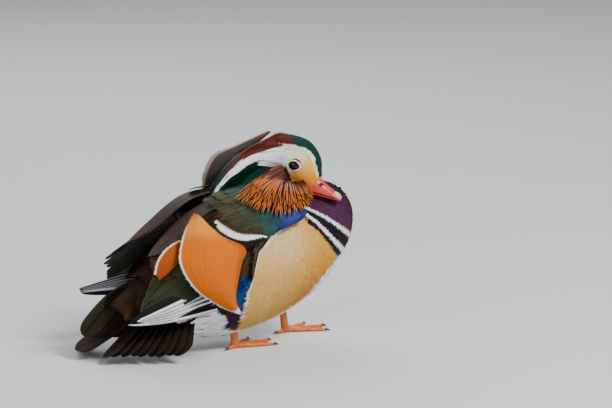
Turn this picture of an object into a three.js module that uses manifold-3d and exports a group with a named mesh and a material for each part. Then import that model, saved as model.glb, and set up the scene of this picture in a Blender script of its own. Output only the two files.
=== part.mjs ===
// Male mandarin duck, standing with its head turned to its right, as a still life-size model.
// Millimetres, +Z up, the duck faces +X and its right side is -Y.
import * as THREE from 'three';
import { mergeVertices } from 'three/addons/utils/BufferGeometryUtils.js';
import Module from 'manifold-3d';

const wasm = await Module();
wasm.setup();

// Fits and thicknesses
const fitGap = 0.3;
const vaneThickness = 0.9;
const lockThickness = 1.3;

// Torso: an egg pitched breast up, with a hunched back that falls to the tail
const bodyCentreHeight = 77;
const floorLevel = -bodyCentreHeight;
const breastReach = 97.6;
const rumpReach = 128;
const torsoHalfHeight = 61.3;
const torsoHalfWidth = 56;
const torsoRise = 0.321;
const neckHollow = { at: 38, depth: 13, spread: 26 };
const backFall = { drop: 85, power: 1.9 };
const bellyFall = { dip: 40, lift: 71.3, power: 2.27 };
const rumpTaper = { share: 0.76, power: 2.2 };

// Head: eye midpoint, heading to the right and pitch down
const headPlace = { x: 41.3, y: -8.7, z: 82.6, heading: -49, pitch: 12 };
const eye = { radius: 6.0, side: 16.4, rim: 4.8, lid: 0.8 };
const bill = { base: 8, tip: 43.6, halfWidth: 8.2, halfTip: 5.6 };

// Folded wings
const wingDepth = 7;
const wingInnerEdge = 9;
const leftWingRise = 7;

// Legs and feet, heel places on the floor
const rightHeel = { x: -33, y: -18, heading: 14 };
const leftHeel = { x: 41, y: 17, heading: 4 };
const toeLength = 46;
const hindToeLength = 12;
const toeSpread = 27;
const tarsusRadius = 2.9;

// Plain vector and number helpers
const V = (x, y, z) => new THREE.Vector3(x, y, z);
const mix = (a, b, t) => a + (b - a) * t;
const radians = THREE.MathUtils.degToRad;

// Repeatable small variation between like feathers
function makeDice(seed) {
  let state = seed;
  return (spread) => {
    state = (state * 16807) % 2147483647;
    return ((state / 2147483647) * 2 - 1) * spread;
  };
}

// A solid from a closed geometry, turned outside out if its faces point in
function solidOf(geometry) {
  const bare = geometry.clone();
  bare.deleteAttribute('normal');
  bare.deleteAttribute('uv');
  const merged = mergeVertices(bare, 1e-4);
  const at = merged.attributes.position.array;
  const index = Uint32Array.from(merged.index.array);
  let volume = 0;
  for (let i = 0; i < index.length; i += 3) {
    const [a, b, c] = [0, 1, 2].map((k) => V().fromArray(at, index[i + k] * 3));
    volume += a.dot(b.cross(c));
  }
  if (volume < 0) {
    for (let i = 0; i < index.length; i += 3) {
      [index[i], index[i + 1]] = [index[i + 1], index[i]];
    }
  }
  const mesh = new wasm.Mesh({ numProp: 3, vertProperties: Float32Array.from(at), triVerts: index });
  return new wasm.Manifold(mesh);
}

function geometryOf(solid) {
  const mesh = solid.getMesh();
  const geometry = new THREE.BufferGeometry();
  geometry.setAttribute('position', new THREE.BufferAttribute(Float32Array.from(mesh.vertProperties), 3));
  geometry.setIndex(new THREE.BufferAttribute(Uint32Array.from(mesh.triVerts), 1));
  geometry.computeVertexNormals();
  return geometry;
}

// The largest closed surface of a solid, without loose scraps or sealed hollows
function largestOf(solid) {
  const pieces = solid.decompose().map((piece) => ({ piece, volume: piece.volume() }));
  pieces.sort((a, b) => b.volume - a.volume);
  return pieces[0].piece;
}

function fuse(solids) {
  return solids.reduce((whole, solid) => whole.add(solid));
}

function cutBack(solid, tools) {
  return largestOf(tools.reduce((rest, tool) => rest.subtract(tool), solid));
}

// A closed surface over rings of points, with a fan over each end
function loft(rings) {
  const count = rings[0].length;
  const points = rings.flat();
  const faces = [];
  for (let i = 0; i < rings.length - 1; i += 1) {
    for (let j = 0; j < count; j += 1) {
      const next = (j + 1) % count;
      const [a, b, c, d] = [i * count + j, i * count + next, (i + 1) * count + j, (i + 1) * count + next];
      faces.push(a, b, d, a, d, c);
    }
  }
  for (const end of [0, rings.length - 1]) {
    const hub = points.length;
    points.push(rings[end].reduce((sum, p) => sum.clone().add(p), V(0, 0, 0)).divideScalar(count));
    for (let j = 0; j < count; j += 1) {
      const pair = [end * count + j, end * count + ((j + 1) % count)];
      faces.push(hub, ...(end === 0 ? pair.reverse() : pair));
    }
  }
  const geometry = new THREE.BufferGeometry().setFromPoints(points);
  geometry.setIndex(faces);
  return solidOf(geometry);
}

// A thin closed plate over a grid of points, split into triangles alike on both faces
function plate(grid, normals, thickness) {
  const rows = grid.length;
  const columns = grid[0].length;
  const points = [];
  for (const side of [0.5, -0.5]) {
    for (let i = 0; i < rows; i += 1) {
      for (let j = 0; j < columns; j += 1) {
        points.push(grid[i][j].clone().addScaledVector(normals[i][j], side * thickness(i, j)));
      }
    }
  }
  const at = (side, i, j) => side * rows * columns + i * columns + j;
  const faces = [];
  for (let i = 0; i < rows - 1; i += 1) {
    for (let j = 0; j < columns - 1; j += 1) {
      faces.push(at(0, i, j), at(0, i + 1, j), at(0, i + 1, j + 1));
      faces.push(at(0, i, j), at(0, i + 1, j + 1), at(0, i, j + 1));
      faces.push(at(1, i, j), at(1, i + 1, j + 1), at(1, i + 1, j));
      faces.push(at(1, i, j), at(1, i, j + 1), at(1, i + 1, j + 1));
    }
  }
  const rim = [];
  for (let j = 0; j < columns - 1; j += 1) rim.push([0, j]);
  for (let i = 0; i < rows - 1; i += 1) rim.push([i, columns - 1]);
  for (let j = columns - 1; j > 0; j -= 1) rim.push([rows - 1, j]);
  for (let i = rows - 1; i > 0; i -= 1) rim.push([i, 0]);
  rim.forEach(([i, j], k) => {
    const [m, n] = rim[(k + 1) % rim.length];
    faces.push(at(0, i, j), at(0, m, n), at(1, m, n));
    faces.push(at(0, i, j), at(1, m, n), at(1, i, j));
  });
  const geometry = new THREE.BufferGeometry().setFromPoints(points);
  geometry.setIndex(faces);
  return solidOf(geometry);
}

// Outlines of feathers, as the share of full width from root to tip
const roundTip = (t) => Math.min(0.55 + 1.1 * t, 1.05 - 0.75 * Math.max(0, t - 0.55) ** 1.3 / 0.45 ** 0.3);
const pointedTip = (t) => Math.min(0.6 + 1.0 * t, 1.0 - 0.82 * Math.max(0, (t - 0.35) / 0.65) ** 1.4);
const hackleTip = (t) => Math.min(0.35 + 1.1 * t, 1.0 - 0.72 * Math.max(0, (t - 0.5) / 0.5) ** 1.2);
const lockTip = (t) => Math.min(0.75 + 0.8 * t, 1.0 - 0.72 * Math.max(0, (t - 0.3) / 0.7) ** 1.2);

// One feather or lock along a curve, its outer face turned to the given direction
function vane({ line, face, width, outline, cup = 0, steps = 4, across = 2, thickness = vaneThickness }) {
  const grid = [];
  const normals = [];
  for (let i = 0; i <= steps; i += 1) {
    const t = i / steps;
    const tangent = line.getTangent(t);
    const side = V().crossVectors(tangent, face(t)).normalize();
    const normal = V().crossVectors(side, tangent).normalize();
    const half = (width / 2) * outline(t);
    grid.push([]);
    normals.push([]);
    for (let j = 0; j <= across; j += 1) {
      const k = (j / across) * 2 - 1;
      const point = line.getPoint(t).addScaledVector(side, k * half);
      grid[i].push(point.addScaledVector(normal, -cup * k * k * half));
      normals[i].push(normal.clone().addScaledVector(side, 2 * cup * k).normalize());
    }
  }
  const thin = (i, j) => thickness * (i === steps || j === 0 || j === across ? 0.65 : 1);
  return plate(grid, normals, thin);
}

// Torso outline at a station along X: top and bottom of the middle plane, and half width
function torsoSection(x, grow = 0) {
  let top;
  let bottom;
  let halfWidth;
  if (x >= 0) {
    const round = Math.sqrt(Math.max(0, 1 - (x / (breastReach + grow)) ** 2));
    const hollow = neckHollow.depth * Math.exp(-(((x - neckHollow.at) / neckHollow.spread) ** 2));
    const half = (torsoHalfHeight + grow) * round;
    top = torsoRise * x + half - hollow * round;
    bottom = torsoRise * x - half;
    halfWidth = (torsoHalfWidth + grow) * round;
  } else {
    const s = -x / rumpReach;
    const hollow = neckHollow.depth * Math.exp(-(((x - neckHollow.at) / neckHollow.spread) ** 2));
    top = torsoHalfHeight - backFall.drop * s ** backFall.power - hollow + grow;
    bottom = -torsoHalfHeight - bellyFall.dip * s + bellyFall.lift * s ** bellyFall.power - grow;
    halfWidth = torsoHalfWidth * (1 - rumpTaper.share * s ** rumpTaper.power) + grow;
  }
  return { centre: (top + bottom) / 2, halfHeight: (top - bottom) / 2, halfWidth };
}

function torsoSolid(grow = 0) {
  const around = 28;
  const rings = [];
  const ringAt = (x) => {
    const { centre, halfHeight, halfWidth } = torsoSection(x, grow);
    return Array.from({ length: around }, (unused, j) => {
      const angle = (j / around) * 2 * Math.PI;
      return V(x, halfWidth * Math.cos(angle), centre + halfHeight * Math.sin(angle));
    });
  };
  const rearStations = 9;
  for (let i = 0; i < rearStations; i += 1) {
    rings.push(ringAt(mix(-rumpReach - grow, 0, i / rearStations)));
  }
  const frontStations = 10;
  for (let i = 0; i <= frontStations; i += 1) {
    const angle = (i / frontStations) * radians(86);
    rings.push(ringAt((breastReach + grow) * Math.sin(angle)));
  }
  return loft(rings);
}

// A point moved straight out of the torso until it is clear of it by the margin
function restOn(point, margin) {
  const x = THREE.MathUtils.clamp(point.x, -rumpReach, breastReach - 1);
  const { centre, halfHeight, halfWidth } = torsoSection(x, margin);
  const depth = Math.hypot(point.y / halfWidth, (point.z - centre) / halfHeight);
  if (depth >= 1 || point.x < -rumpReach) return point.clone();
  return V(point.x, point.y / depth, centre + (point.z - centre) / depth);
}

// Direction straight out of the torso at a point
function outward(point) {
  const x = THREE.MathUtils.clamp(point.x, -rumpReach, breastReach - 1);
  const { centre, halfHeight, halfWidth } = torsoSection(x, 0);
  return V(0, point.y / halfWidth ** 2, (point.z - centre) / halfHeight ** 2).normalize();
}

// The head's own frame: x to the bill, y to the duck's left, z to the crown
const headFrame = new THREE.Matrix4().compose(
  V(headPlace.x, headPlace.y, headPlace.z),
  new THREE.Quaternion().setFromEuler(
    new THREE.Euler(0, radians(headPlace.pitch), radians(headPlace.heading), 'ZYX'),
  ),
  V(1, 1, 1),
);
const fromHead = (x, y, z) => V(x, y, z).applyMatrix4(headFrame);

// Rings of ellipses along the head's x, from [x, top, bottom, half width] rows
function headLoft(stations, grow, around = 20) {
  const last = stations.length - 1;
  return loft(stations.map(([x, top, bottom, half], i) => {
    const shift = i === 0 ? -grow : i === last ? grow : 0;
    const height = (top - bottom) / 2 + grow;
    return Array.from({ length: around }, (unused, j) => {
      const angle = (j / around) * 2 * Math.PI;
      return V(x + shift, (half + grow) * Math.cos(angle), (top + bottom) / 2 + height * Math.sin(angle));
    });
  }));
}

const skullStations = [
  [-35, 2, -8, 4],
  [-31, 10, -16, 11],
  [-23, 16, -22, 16.5],
  [-12, 19.5, -25, 20],
  [0, 19.5, -26, 20.6],
  [9, 15, -26, 17.6],
  [15, 9.5, -25.5, 13.4],
  [19, 3, -24.5, 9.8],
  [21.5, -5, -22.5, 6.5],
];
const crownStations = [
  [-37, 8, -2, 5],
  [-32, 16, -2, 11],
  [-22, 21.5, 0, 14.5],
  [-11, 23.5, 4, 16],
  [2, 22, 5, 15],
  [12, 15.5, 3, 11],
  [18, 8, 0, 6.5],
  [20.5, 2, -1, 3],
];

const skullSolid = (grow = 0) => headLoft(skullStations, grow);

// Neck from the torso's hollow up into the underside of the head
function neckSolid(grow = 0) {
  const start = V(33, -1, 34);
  const end = fromHead(-9, 0, -8);
  const stations = 6;
  const rings = Array.from({ length: stations + 1 }, (unused, i) => {
    const t = i / stations;
    const centre = start.clone().lerp(end, t);
    const radius = mix(31, 19.5, Math.sin((t * Math.PI) / 2)) + grow;
    return Array.from({ length: 22 }, (alsoUnused, j) => {
      const angle = (j / 22) * 2 * Math.PI;
      return centre.clone().add(V(radius * Math.cos(angle), radius * Math.sin(angle), 0));
    });
  });
  return loft(rings);
}

function eyeball(side, grow = 0) {
  const ball = new THREE.SphereGeometry(eye.radius + grow, 12, 8);
  ball.translate(0, side * eye.side, 0);
  return solidOf(ball);
}

function lidRing(side, grow = 0) {
  const ring = new THREE.TorusGeometry(eye.rim, eye.lid + grow, 4, 12);
  ring.rotateX(Math.PI / 2);
  ring.scale(1.1, 1, 0.88);
  ring.translate(0, side * 20.3, 0);
  return solidOf(ring);
}

// Upper and lower halves of the bill, both starting inside the feathering of the face
function billHalf(isUpper, grow = 0) {
  const stations = 8;
  const rings = Array.from({ length: stations + 1 }, (unused, i) => {
    const t = i / stations;
    const x = mix(bill.base, bill.tip, t);
    const mouth = mix(-20.2, -22.8, t);
    const culmen = mix(-3.5, -20.3, t ** 0.8);
    const chin = mix(-25.2, -24.6, t);
    const roundEnd = Math.sqrt(Math.max(0.06, 1 - Math.max(0, (t - 0.72) / 0.3) ** 2));
    const half = mix(bill.halfWidth, bill.halfTip, t) * roundEnd + grow;
    const top = (isUpper ? culmen : mouth - fitGap / 2) + grow;
    const bottom = (isUpper ? mix(mouth, mouth - 1.6, Math.max(0, (t - 0.85) / 0.15)) + fitGap / 2 : chin) - grow;
    const inset = isUpper ? 1 : 0.8;
    const shape = isUpper
      ? [[-1, 0], [-0.92, 0.45], [-0.55, 0.85], [0, 1], [0.55, 0.85], [0.92, 0.45], [1, 0]]
      : [[-1, 1], [1, 1], [0.86, 0.4], [0.4, 0], [-0.4, 0], [-0.86, 0.4]];
    return shape.map(([y, z]) => V(x, y * half * inset, mix(bottom, top, z)));
  });
  return loft(rings);
}

function nostril(side) {
  const hole = new THREE.SphereGeometry(1, 8, 6);
  hole.scale(2.2, 1.3, 1.0);
  hole.rotateY(radians(24));
  hole.translate(23.5, side * 5.9, -12.6);
  return solidOf(hole);
}

// Hackles of one side: a fan of locks from the cheek over the neck and shoulder
const ruffTips = {
  right: [V(-36, -24, 57), V(-30, -40, 48), V(-6, -50, 43), V(22, -46, 45), V(42, -34, 56)],
  left: [V(16, 30, 58), V(38, 34, 49), V(58, 24, 45), V(67, 2, 46), V(62, -18, 53)],
};

function ruffSolid(side) {
  const dice = makeDice(side > 0 ? 811 : 407);
  const tips = new THREE.CatmullRomCurve3(side > 0 ? ruffTips.left : ruffTips.right);
  const pad = new THREE.SphereGeometry(1, 14, 10);
  pad.scale(15, 7, 14);
  pad.rotateY(radians(-35));
  pad.translate(-12, side * 16.5, -13);
  const locks = [solidOf(pad).transform(headFrame.elements)];
  const layers = [
    { count: 10, reach: 1, lift: 11.5, start: 0 },
    { count: 8, reach: 0.74, lift: 14.5, start: 0.05 },
  ];
  for (const layer of layers) {
    for (let i = 0; i < layer.count; i += 1) {
      const t = layer.start + (i / (layer.count - 1)) * (1 - 2 * layer.start);
      const rootHead = V(mix(-12, 5, t), side * mix(17, 14.5, t), mix(-1, -22, t));
      const root = rootHead.applyMatrix4(headFrame);
      const end = root.clone().lerp(tips.getPoint(t), layer.reach + dice(0.05));
      const middle = root.clone().lerp(end, 0.5);
      const rise = fromHead(0, side * 5, 7 * (1 - t)).sub(fromHead(0, 0, 0));
      middle.add(rise);
      const line = new THREE.QuadraticBezierCurve3(root, restOn(middle, layer.lift), restOn(end, layer.lift));
      const aside = fromHead(0, side, 0.2).sub(fromHead(0, 0, 0)).normalize();
      const face = (u) => aside.clone().lerp(outward(line.getPoint(u)), u);
      locks.push(vane({ line, face, width: 9.5, outline: hackleTip, steps: 3, across: 1, thickness: lockThickness }));
    }
  }
  return fuse(locks);
}

// Crown plumage and the long crest that droops from it over the middle of the back
const crestEnd = [V(-1.4, 8, 86), V(-22, 5, 78), V(-38, 2, 67), V(-47.5, 0, 54)];

function crestSolid() {
  const dice = makeDice(1213);
  const pieces = [toWorld(headLoft(crownStations, 0, 18))];
  const rows = [
    { count: 4, high: 9, reach: 1, rootX: -16, rootZ: 15 },
    { count: 3, high: 2, reach: 0.96, rootX: -22, rootZ: 12 },
    { count: 2, high: -6, reach: 0.88, rootX: -26, rootZ: 6 },
  ];
  for (const row of rows) {
    for (let i = 0; i < row.count; i += 1) {
      const k = row.count > 1 ? (i / (row.count - 1)) * 2 - 1 : 0;
      const root = fromHead(row.rootX, k * 7, row.rootZ - 3 * k * k);
      const points = crestEnd.map((p, n) => {
        const shrink = mix(1, 0.35, n / (crestEnd.length - 1));
        return p.clone().add(V(0, k * 8 * shrink + dice(0.8), (row.high - 4 * k * k) * shrink));
      });
      const whole = new THREE.CatmullRomCurve3([root, ...points]);
      const line = cutCurve(whole, row.reach + dice(0.04));
      const face = () => V(0, 0.35 * k, 1);
      pieces.push(vane({ line, face, width: 8, outline: lockTip, steps: 5, across: 1, thickness: 1.8 }));
    }
  }
  return fuse(pieces);
}

const toWorld = (solid) => solid.transform(headFrame.elements);

// The first share of a curve, as a curve of its own
function cutCurve(curve, share) {
  const last = Math.min(share, 1);
  const points = Array.from({ length: 7 }, (unused, i) => curve.getPoint((i / 6) * last));
  return new THREE.CatmullRomCurve3(points);
}

// A tier of feathers between its first and last, given as root, middle and tip.
// Each leans towards the first, so that its far edge lies over the next feather.
function tier({ side = 1, first, last, count, width, outline, lean = 0.27, steps = 3, facing = outward, seed }) {
  const dice = makeDice(seed);
  return Array.from({ length: count }, (unused, i) => {
    const t = i / (count - 1);
    const at = (k) => V(
      mix(first[k][0], last[k][0], t),
      side * mix(first[k][1], last[k][1], t),
      mix(first[k][2], last[k][2], t),
    );
    const across = V(first[2][0] - last[2][0], side * (first[2][1] - last[2][1]), first[2][2] - last[2][2]);
    across.normalize();
    const face = facing(at(1)).addScaledVector(across, lean);
    const tip = at(2).add(V(dice(2.5), 0, 0));
    const line = new THREE.CatmullRomCurve3([at(0), at(1), tip]);
    return vane({ line, face: () => face, width, outline, steps });
  });
}

// The arm of a folded wing: a shell over the torso inside the wing's outline
const wingOutline = [
  [38, 30], [30, 52], [0, 74], [-45, 76], [-92, 52], [-120, 14],
  [-112, -20], [-80, -27], [-40, -18], [0, 2], [28, 14],
];

function wingArm(side, rise) {
  const shape = new THREE.Shape(
    new THREE.SplineCurve([...wingOutline, wingOutline[0]].map(([x, z]) => new THREE.Vector2(x, z + rise)))
      .getPoints(28).slice(0, -1),
  );
  const slab = new THREE.ExtrudeGeometry(shape, { depth: 90, bevelEnabled: false });
  slab.rotateX(Math.PI / 2);
  slab.translate(0, side > 0 ? 90 + wingInnerEdge : -wingInnerEdge, 0);
  return torsoSolid(wingDepth).intersect(solidOf(slab));
}

function wingSolid(side) {
  const isLeft = side > 0;
  const rise = isLeft ? leftWingRise : 0;
  const primaryRise = isLeft ? 22 : 0;
  const primaryReach = isLeft ? 24 : 0;
  const shifted = (rows, dz, dx = 0) => rows.map(([x, y, z], k) => [x - (k === 2 ? dx : 0), y, z + dz]);
  const pieces = [wingArm(side, rise)];
  pieces.push(...tier({
    side, seed: 31, count: 5, width: 10, outline: pointedTip,
    first: shifted([[-60, 44, -8], [-100, 40, -22], [-146, 16, -32]], primaryRise, primaryReach),
    last: shifted([[-56, 46, -26], [-95, 43, -42], [-130, 30, -52]], primaryRise, primaryReach),
  }));
  pieces.push(...tier({
    side, seed: 57, count: 4, width: 19, outline: roundTip,
    first: shifted([[-62, 40, 24], [-100, 46, 8], [-136, 36, -2]], rise),
    last: shifted([[-56, 47, 0], [-98, 50, -16], [-134, 38, -26]], rise),
  }));
  pieces.push(...tier({
    side, seed: 83, count: 4, width: 24, outline: roundTip,
    first: shifted([[-20, 14, 54], [-66, 16, 50], [-118, 18, 14]], rise),
    last: shifted([[-24, 40, 42], [-72, 48, 36], [-142, 37, -11]], rise),
  }));
  pieces.push(...tier({
    side, seed: 101, count: 4, width: 24, outline: roundTip,
    first: shifted([[22, 16, 52], [-6, 18, 65], [-42, 20, 66]], rise),
    last: shifted([[26, 44, 22], [-2, 56, 22], [-38, 57, 16]], rise),
  }));
  return fuse(pieces);
}

// A broad blade between two edges, bulging to its outer face
function blade({ rearEdge, frontEdge, face, bulge, thickness = 1.1, steps = 9, across = 5 }) {
  const rear = new THREE.CatmullRomCurve3(rearEdge);
  const front = new THREE.CatmullRomCurve3(frontEdge);
  const grid = [];
  const normals = [];
  for (let i = 0; i <= steps; i += 1) {
    const [a, b] = [rear.getPoint(i / steps), front.getPoint(i / steps)];
    grid.push([]);
    normals.push([]);
    for (let j = 0; j <= across; j += 1) {
      const k = j / across;
      const swell = bulge * 4 * k * (1 - k) * Math.sin(Math.PI * mix(0.2, 0.9, i / steps));
      grid[i].push(a.clone().lerp(b, k).addScaledVector(face, swell));
      normals[i].push(face.clone());
    }
  }
  return plate(grid, normals, (i, j) => thickness * (i === steps || j === 0 || j === across ? 0.65 : 1));
}

const rightSail = {
  face: V(-0.25, -0.97, 0.05).normalize(),
  bulge: 7,
  rearEdge: [
    V(-91, -47, 54), V(-105, -52, 34), V(-110, -56, 13), V(-98, -59, -9), V(-75, -60, -27), V(-53, -58, -38),
  ],
  frontEdge: [
    V(-87, -49, 52), V(-67, -57, 38), V(-49, -61, 22), V(-45, -62, -1), V(-48, -61, -21), V(-51, -58, -37),
  ],
};
const leftSail = {
  face: V(0.1, -0.98, 0.1).normalize(),
  bulge: 5,
  rearEdge: [V(-34, 36, 58), V(-35, 31, 74), V(-26, 29, 89), V(-5, 28, 96), V(29, 27, 107)],
  frontEdge: [V(-8, 38, 58), V(2, 33, 72), V(9, 30, 84), V(18, 28, 96), V(32, 27, 106)],
};
const smallSail = {
  face: V(-0.25, -0.97, 0.05).normalize(),
  bulge: 2,
  rearEdge: [V(-101, -43, 31), V(-117, -46, 26), V(-127, -47, 16), V(-130, -47, 4)],
  frontEdge: [V(-99, -44, 27), V(-105, -48, 19), V(-115, -49, 9), V(-127, -47, 0)],
};

// Tail in two parted halves of broad feathers from a short flat root, resting on their outer tips
const tailRoot = V(-106, 0, -31);
const tailHalves = [
  {
    seed: 19,
    first: [[-108, 3, -34], [-142, 8, -50], [-176, 14, -68]],
    last: [[-106, 9, -37], [-132, 30, -55], [-156, 52, -77.5]],
  },
  {
    seed: 23,
    first: [[-108, -3, -34], [-138, -12, -52], [-166, -20, -70]],
    last: [[-102, -9, -38], [-116, -34, -57], [-132, -62, -77.5]],
  },
];

function tailSolid() {
  const base = new THREE.SphereGeometry(1, 14, 8);
  base.scale(30, 19, 9);
  base.rotateY(radians(-27));
  base.translate(tailRoot.x - 12, 0, tailRoot.z - 5);
  const facing = () => V(-0.5, 0, 0.87);
  const halves = tailHalves.map(({ seed, first, last }) => tier({
    seed, first, last, facing, count: 6, width: 21, outline: roundTip, lean: 0.2,
  }));
  const ground = new THREE.BoxGeometry(400, 400, 40);
  ground.translate(-100, 0, floorLevel - 20);
  return fuse([solidOf(base), ...halves.flat()]).subtract(solidOf(ground));
}

// One toe with a flat sole, tapering to its claw
function toe(length, heading, halfWidth) {
  const stations = 5;
  const rings = Array.from({ length: stations + 1 }, (unused, i) => {
    const t = i / stations;
    const knuckle = 1 + 0.12 * Math.cos(t * 4 * Math.PI);
    const half = halfWidth * knuckle * (t > 0.85 ? 0.3 : mix(1, 0.75, t));
    const height = mix(4.6, 2.6, t) * (t > 0.85 ? 0.35 : 1);
    const shape = [[-1, 0], [1, 0], [1, 0.55], [0.5, 1], [-0.5, 1], [-1, 0.55]];
    return shape.map(([y, z]) => V(mix(-2, length, t), y * half, z * height));
  });
  return loft(rings).rotate([0, 0, heading]);
}

function webSolid() {
  const tipAt = (angle, reach) => {
    const bearing = radians(angle);
    return new THREE.Vector2(reach * Math.cos(bearing), reach * Math.sin(bearing));
  };
  const shape = new THREE.Shape([
    new THREE.Vector2(0, 0),
    tipAt(-toeSpread, toeLength * 0.8),
    tipAt(-toeSpread * 0.5, toeLength * 0.72),
    tipAt(0, toeLength * 0.88),
    tipAt(toeSpread * 0.5, toeLength * 0.72),
    tipAt(toeSpread, toeLength * 0.8),
  ]);
  return solidOf(new THREE.ExtrudeGeometry(shape, { depth: 1.1, bevelEnabled: false }));
}

function footSolid() {
  const pieces = [webSolid(), toe(toeLength, 0, 2.6)];
  for (const turn of [-toeSpread, toeSpread]) {
    pieces.push(toe(toeLength * 0.88, turn, 2.5));
  }
  pieces.push(toe(hindToeLength, 190, 1.8));
  const ankle = new THREE.SphereGeometry(4.2, 10, 8);
  ankle.scale(1, 0.9, 0.9);
  ankle.translate(0, 0, 3.9);
  pieces.push(solidOf(ankle));
  return largestOf(fuse(pieces));
}

function legSolid(lean) {
  const length = 46;
  const around = 10;
  const rings = [0, 0.2, 0.5, 0.8, 1].map((t) => {
    const radius = tarsusRadius * (1 + 0.25 * (2 * t - 1) ** 2);
    return Array.from({ length: around }, (unused, j) => {
      const angle = (j / around) * 2 * Math.PI;
      const centre = V(lean * length * t, 0, 3 + length * t);
      return centre.add(V(radius * 1.15 * Math.cos(angle), radius * Math.sin(angle), 0));
    });
  });
  return loft(rings);
}

const standAt = (solid, { x, y, heading }) => solid.rotate([0, 0, heading]).translate([x, y, floorLevel]);

// A feathered solid made slightly larger all round, to cut its neighbours clear of it
function clearance(solid) {
  const steps = [[1, 0, 0], [-1, 0, 0], [0, 1, 0], [0, -1, 0], [0, 0, 1], [0, 0, -1]];
  return fuse(steps.map((step) => solid.translate(step.map((s) => s * fitGap))));
}

// Every node as a solid in the body's frame, each cut clear of those before it.
// A smooth node brings its own larger copy to cut its neighbours with.
const solids = {};
const larger = {};

function place(name, solid, largerCopy) {
  let rest = solid;
  for (const [other, placed] of Object.entries(solids)) {
    if (rest.minGap(placed, fitGap) >= fitGap * 0.95) continue;
    larger[other] ??= clearance(placed);
    rest = rest.subtract(larger[other]);
  }
  solids[name] = largestOf(rest);
  if (largerCopy) larger[name] = largerCopy;
}

const sides = [['right', -1], ['left', 1]];
place('torso', torsoSolid(), torsoSolid(fitGap));
for (const [name, side] of sides) place(`eye_${name}`, toWorld(eyeball(side)), toWorld(eyeball(side, fitGap)));
const headWith = (grow) => toWorld(fuse([skullSolid(grow), lidRing(1, grow), lidRing(-1, grow)]));
place('head', headWith(0), headWith(fitGap));
place('neck', neckSolid(), neckSolid(fitGap));
place('bill_upper', cutBack(toWorld(billHalf(true)), [toWorld(nostril(1)), toWorld(nostril(-1))]));
place('bill_lower', toWorld(billHalf(false)));
for (const [name, side] of sides) place(`ruff_${name}`, ruffSolid(side));
place('crest', crestSolid());
for (const [name, side] of sides) place(`wing_${name}`, wingSolid(side));
place('sail_right', blade(rightSail));
place('sail_small_right', blade(smallSail));
place('sail_left', blade(leftSail));
place('tail', tailSolid());
for (const [name, heel, lean] of [['right', rightHeel, -0.1], ['left', leftHeel, -0.15]]) {
  place(`foot_${name}`, standAt(footSolid(), heel));
  place(`leg_${name}`, standAt(legSolid(lean), heel));
}

const looks = {
  torso: [0x6b2f4a, 0.85],
  neck: [0xb5552a, 0.85],
  head: [0xe8c9a0, 0.85],
  eye_left: [0x0a0a10, 0.08],
  eye_right: [0x0a0a10, 0.08],
  bill_upper: [0xd8402f, 0.4],
  bill_lower: [0xc93a2c, 0.4],
  ruff_left: [0xc4591c, 0.8],
  ruff_right: [0xc4591c, 0.8],
  crest: [0x5a1f1c, 0.6],
  wing_left: [0x43362a, 0.8],
  wing_right: [0x43362a, 0.8],
  sail_left: [0x8a6a58, 0.7],
  sail_right: [0xe8842a, 0.7],
  sail_small_right: [0xd8742a, 0.7],
  tail: [0x3a3026, 0.8],
  leg_left: [0xe2701f, 0.5],
  leg_right: [0xe2701f, 0.5],
  foot_left: [0xe2701f, 0.5],
  foot_right: [0xe2701f, 0.5],
};

// The body stands on its feet, with the origin under the middle of its box
const duck = new THREE.Group();
const body = new THREE.Group();
duck.add(body);
for (const [name, solid] of Object.entries(solids)) {
  const [color, roughness] = looks[name];
  const mesh = new THREE.Mesh(geometryOf(solid), new THREE.MeshStandardMaterial({ color, roughness, metalness: 0 }));
  mesh.name = name;
  body.add(mesh);
}
const box = new THREE.Box3().setFromObject(duck);
body.position.set(-(box.min.x + box.max.x) / 2, -(box.min.y + box.max.y) / 2, -box.min.z);

export default duck;
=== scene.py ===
import math

import bpy
import numpy as np
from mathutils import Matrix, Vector


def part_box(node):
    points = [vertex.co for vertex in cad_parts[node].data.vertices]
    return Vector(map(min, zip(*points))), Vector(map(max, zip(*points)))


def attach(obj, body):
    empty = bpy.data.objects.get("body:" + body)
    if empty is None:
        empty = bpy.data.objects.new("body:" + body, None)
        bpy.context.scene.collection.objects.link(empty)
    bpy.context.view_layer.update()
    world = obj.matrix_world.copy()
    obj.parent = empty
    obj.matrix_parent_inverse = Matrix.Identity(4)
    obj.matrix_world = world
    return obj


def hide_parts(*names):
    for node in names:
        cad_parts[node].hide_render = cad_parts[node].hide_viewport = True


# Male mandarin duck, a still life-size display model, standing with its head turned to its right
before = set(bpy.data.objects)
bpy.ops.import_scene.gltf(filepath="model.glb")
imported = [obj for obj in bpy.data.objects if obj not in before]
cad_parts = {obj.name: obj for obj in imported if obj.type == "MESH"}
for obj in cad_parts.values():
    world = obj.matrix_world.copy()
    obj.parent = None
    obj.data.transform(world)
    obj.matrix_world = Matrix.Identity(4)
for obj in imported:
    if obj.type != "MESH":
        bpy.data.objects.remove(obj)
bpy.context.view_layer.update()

dice = np.random.default_rng(20)

# The body's own frame in millimetres: x to the breast, y to the left, z up, origin inside the body
BODY_HEIGHT = 77.0
BREAST_REACH = 97.6
RUMP_REACH = 128.0
LAST_STATION = math.sin(math.radians(86))
torso_low, torso_high = (1000 * np.array(corner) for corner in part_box("torso"))
BODY_ORIGIN = np.array([
    torso_high[0] - BREAST_REACH * LAST_STATION, (torso_low[1] + torso_high[1]) / 2, BODY_HEIGHT,
])
LOWEST_FEATHER = 0.4 - BODY_HEIGHT

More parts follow.
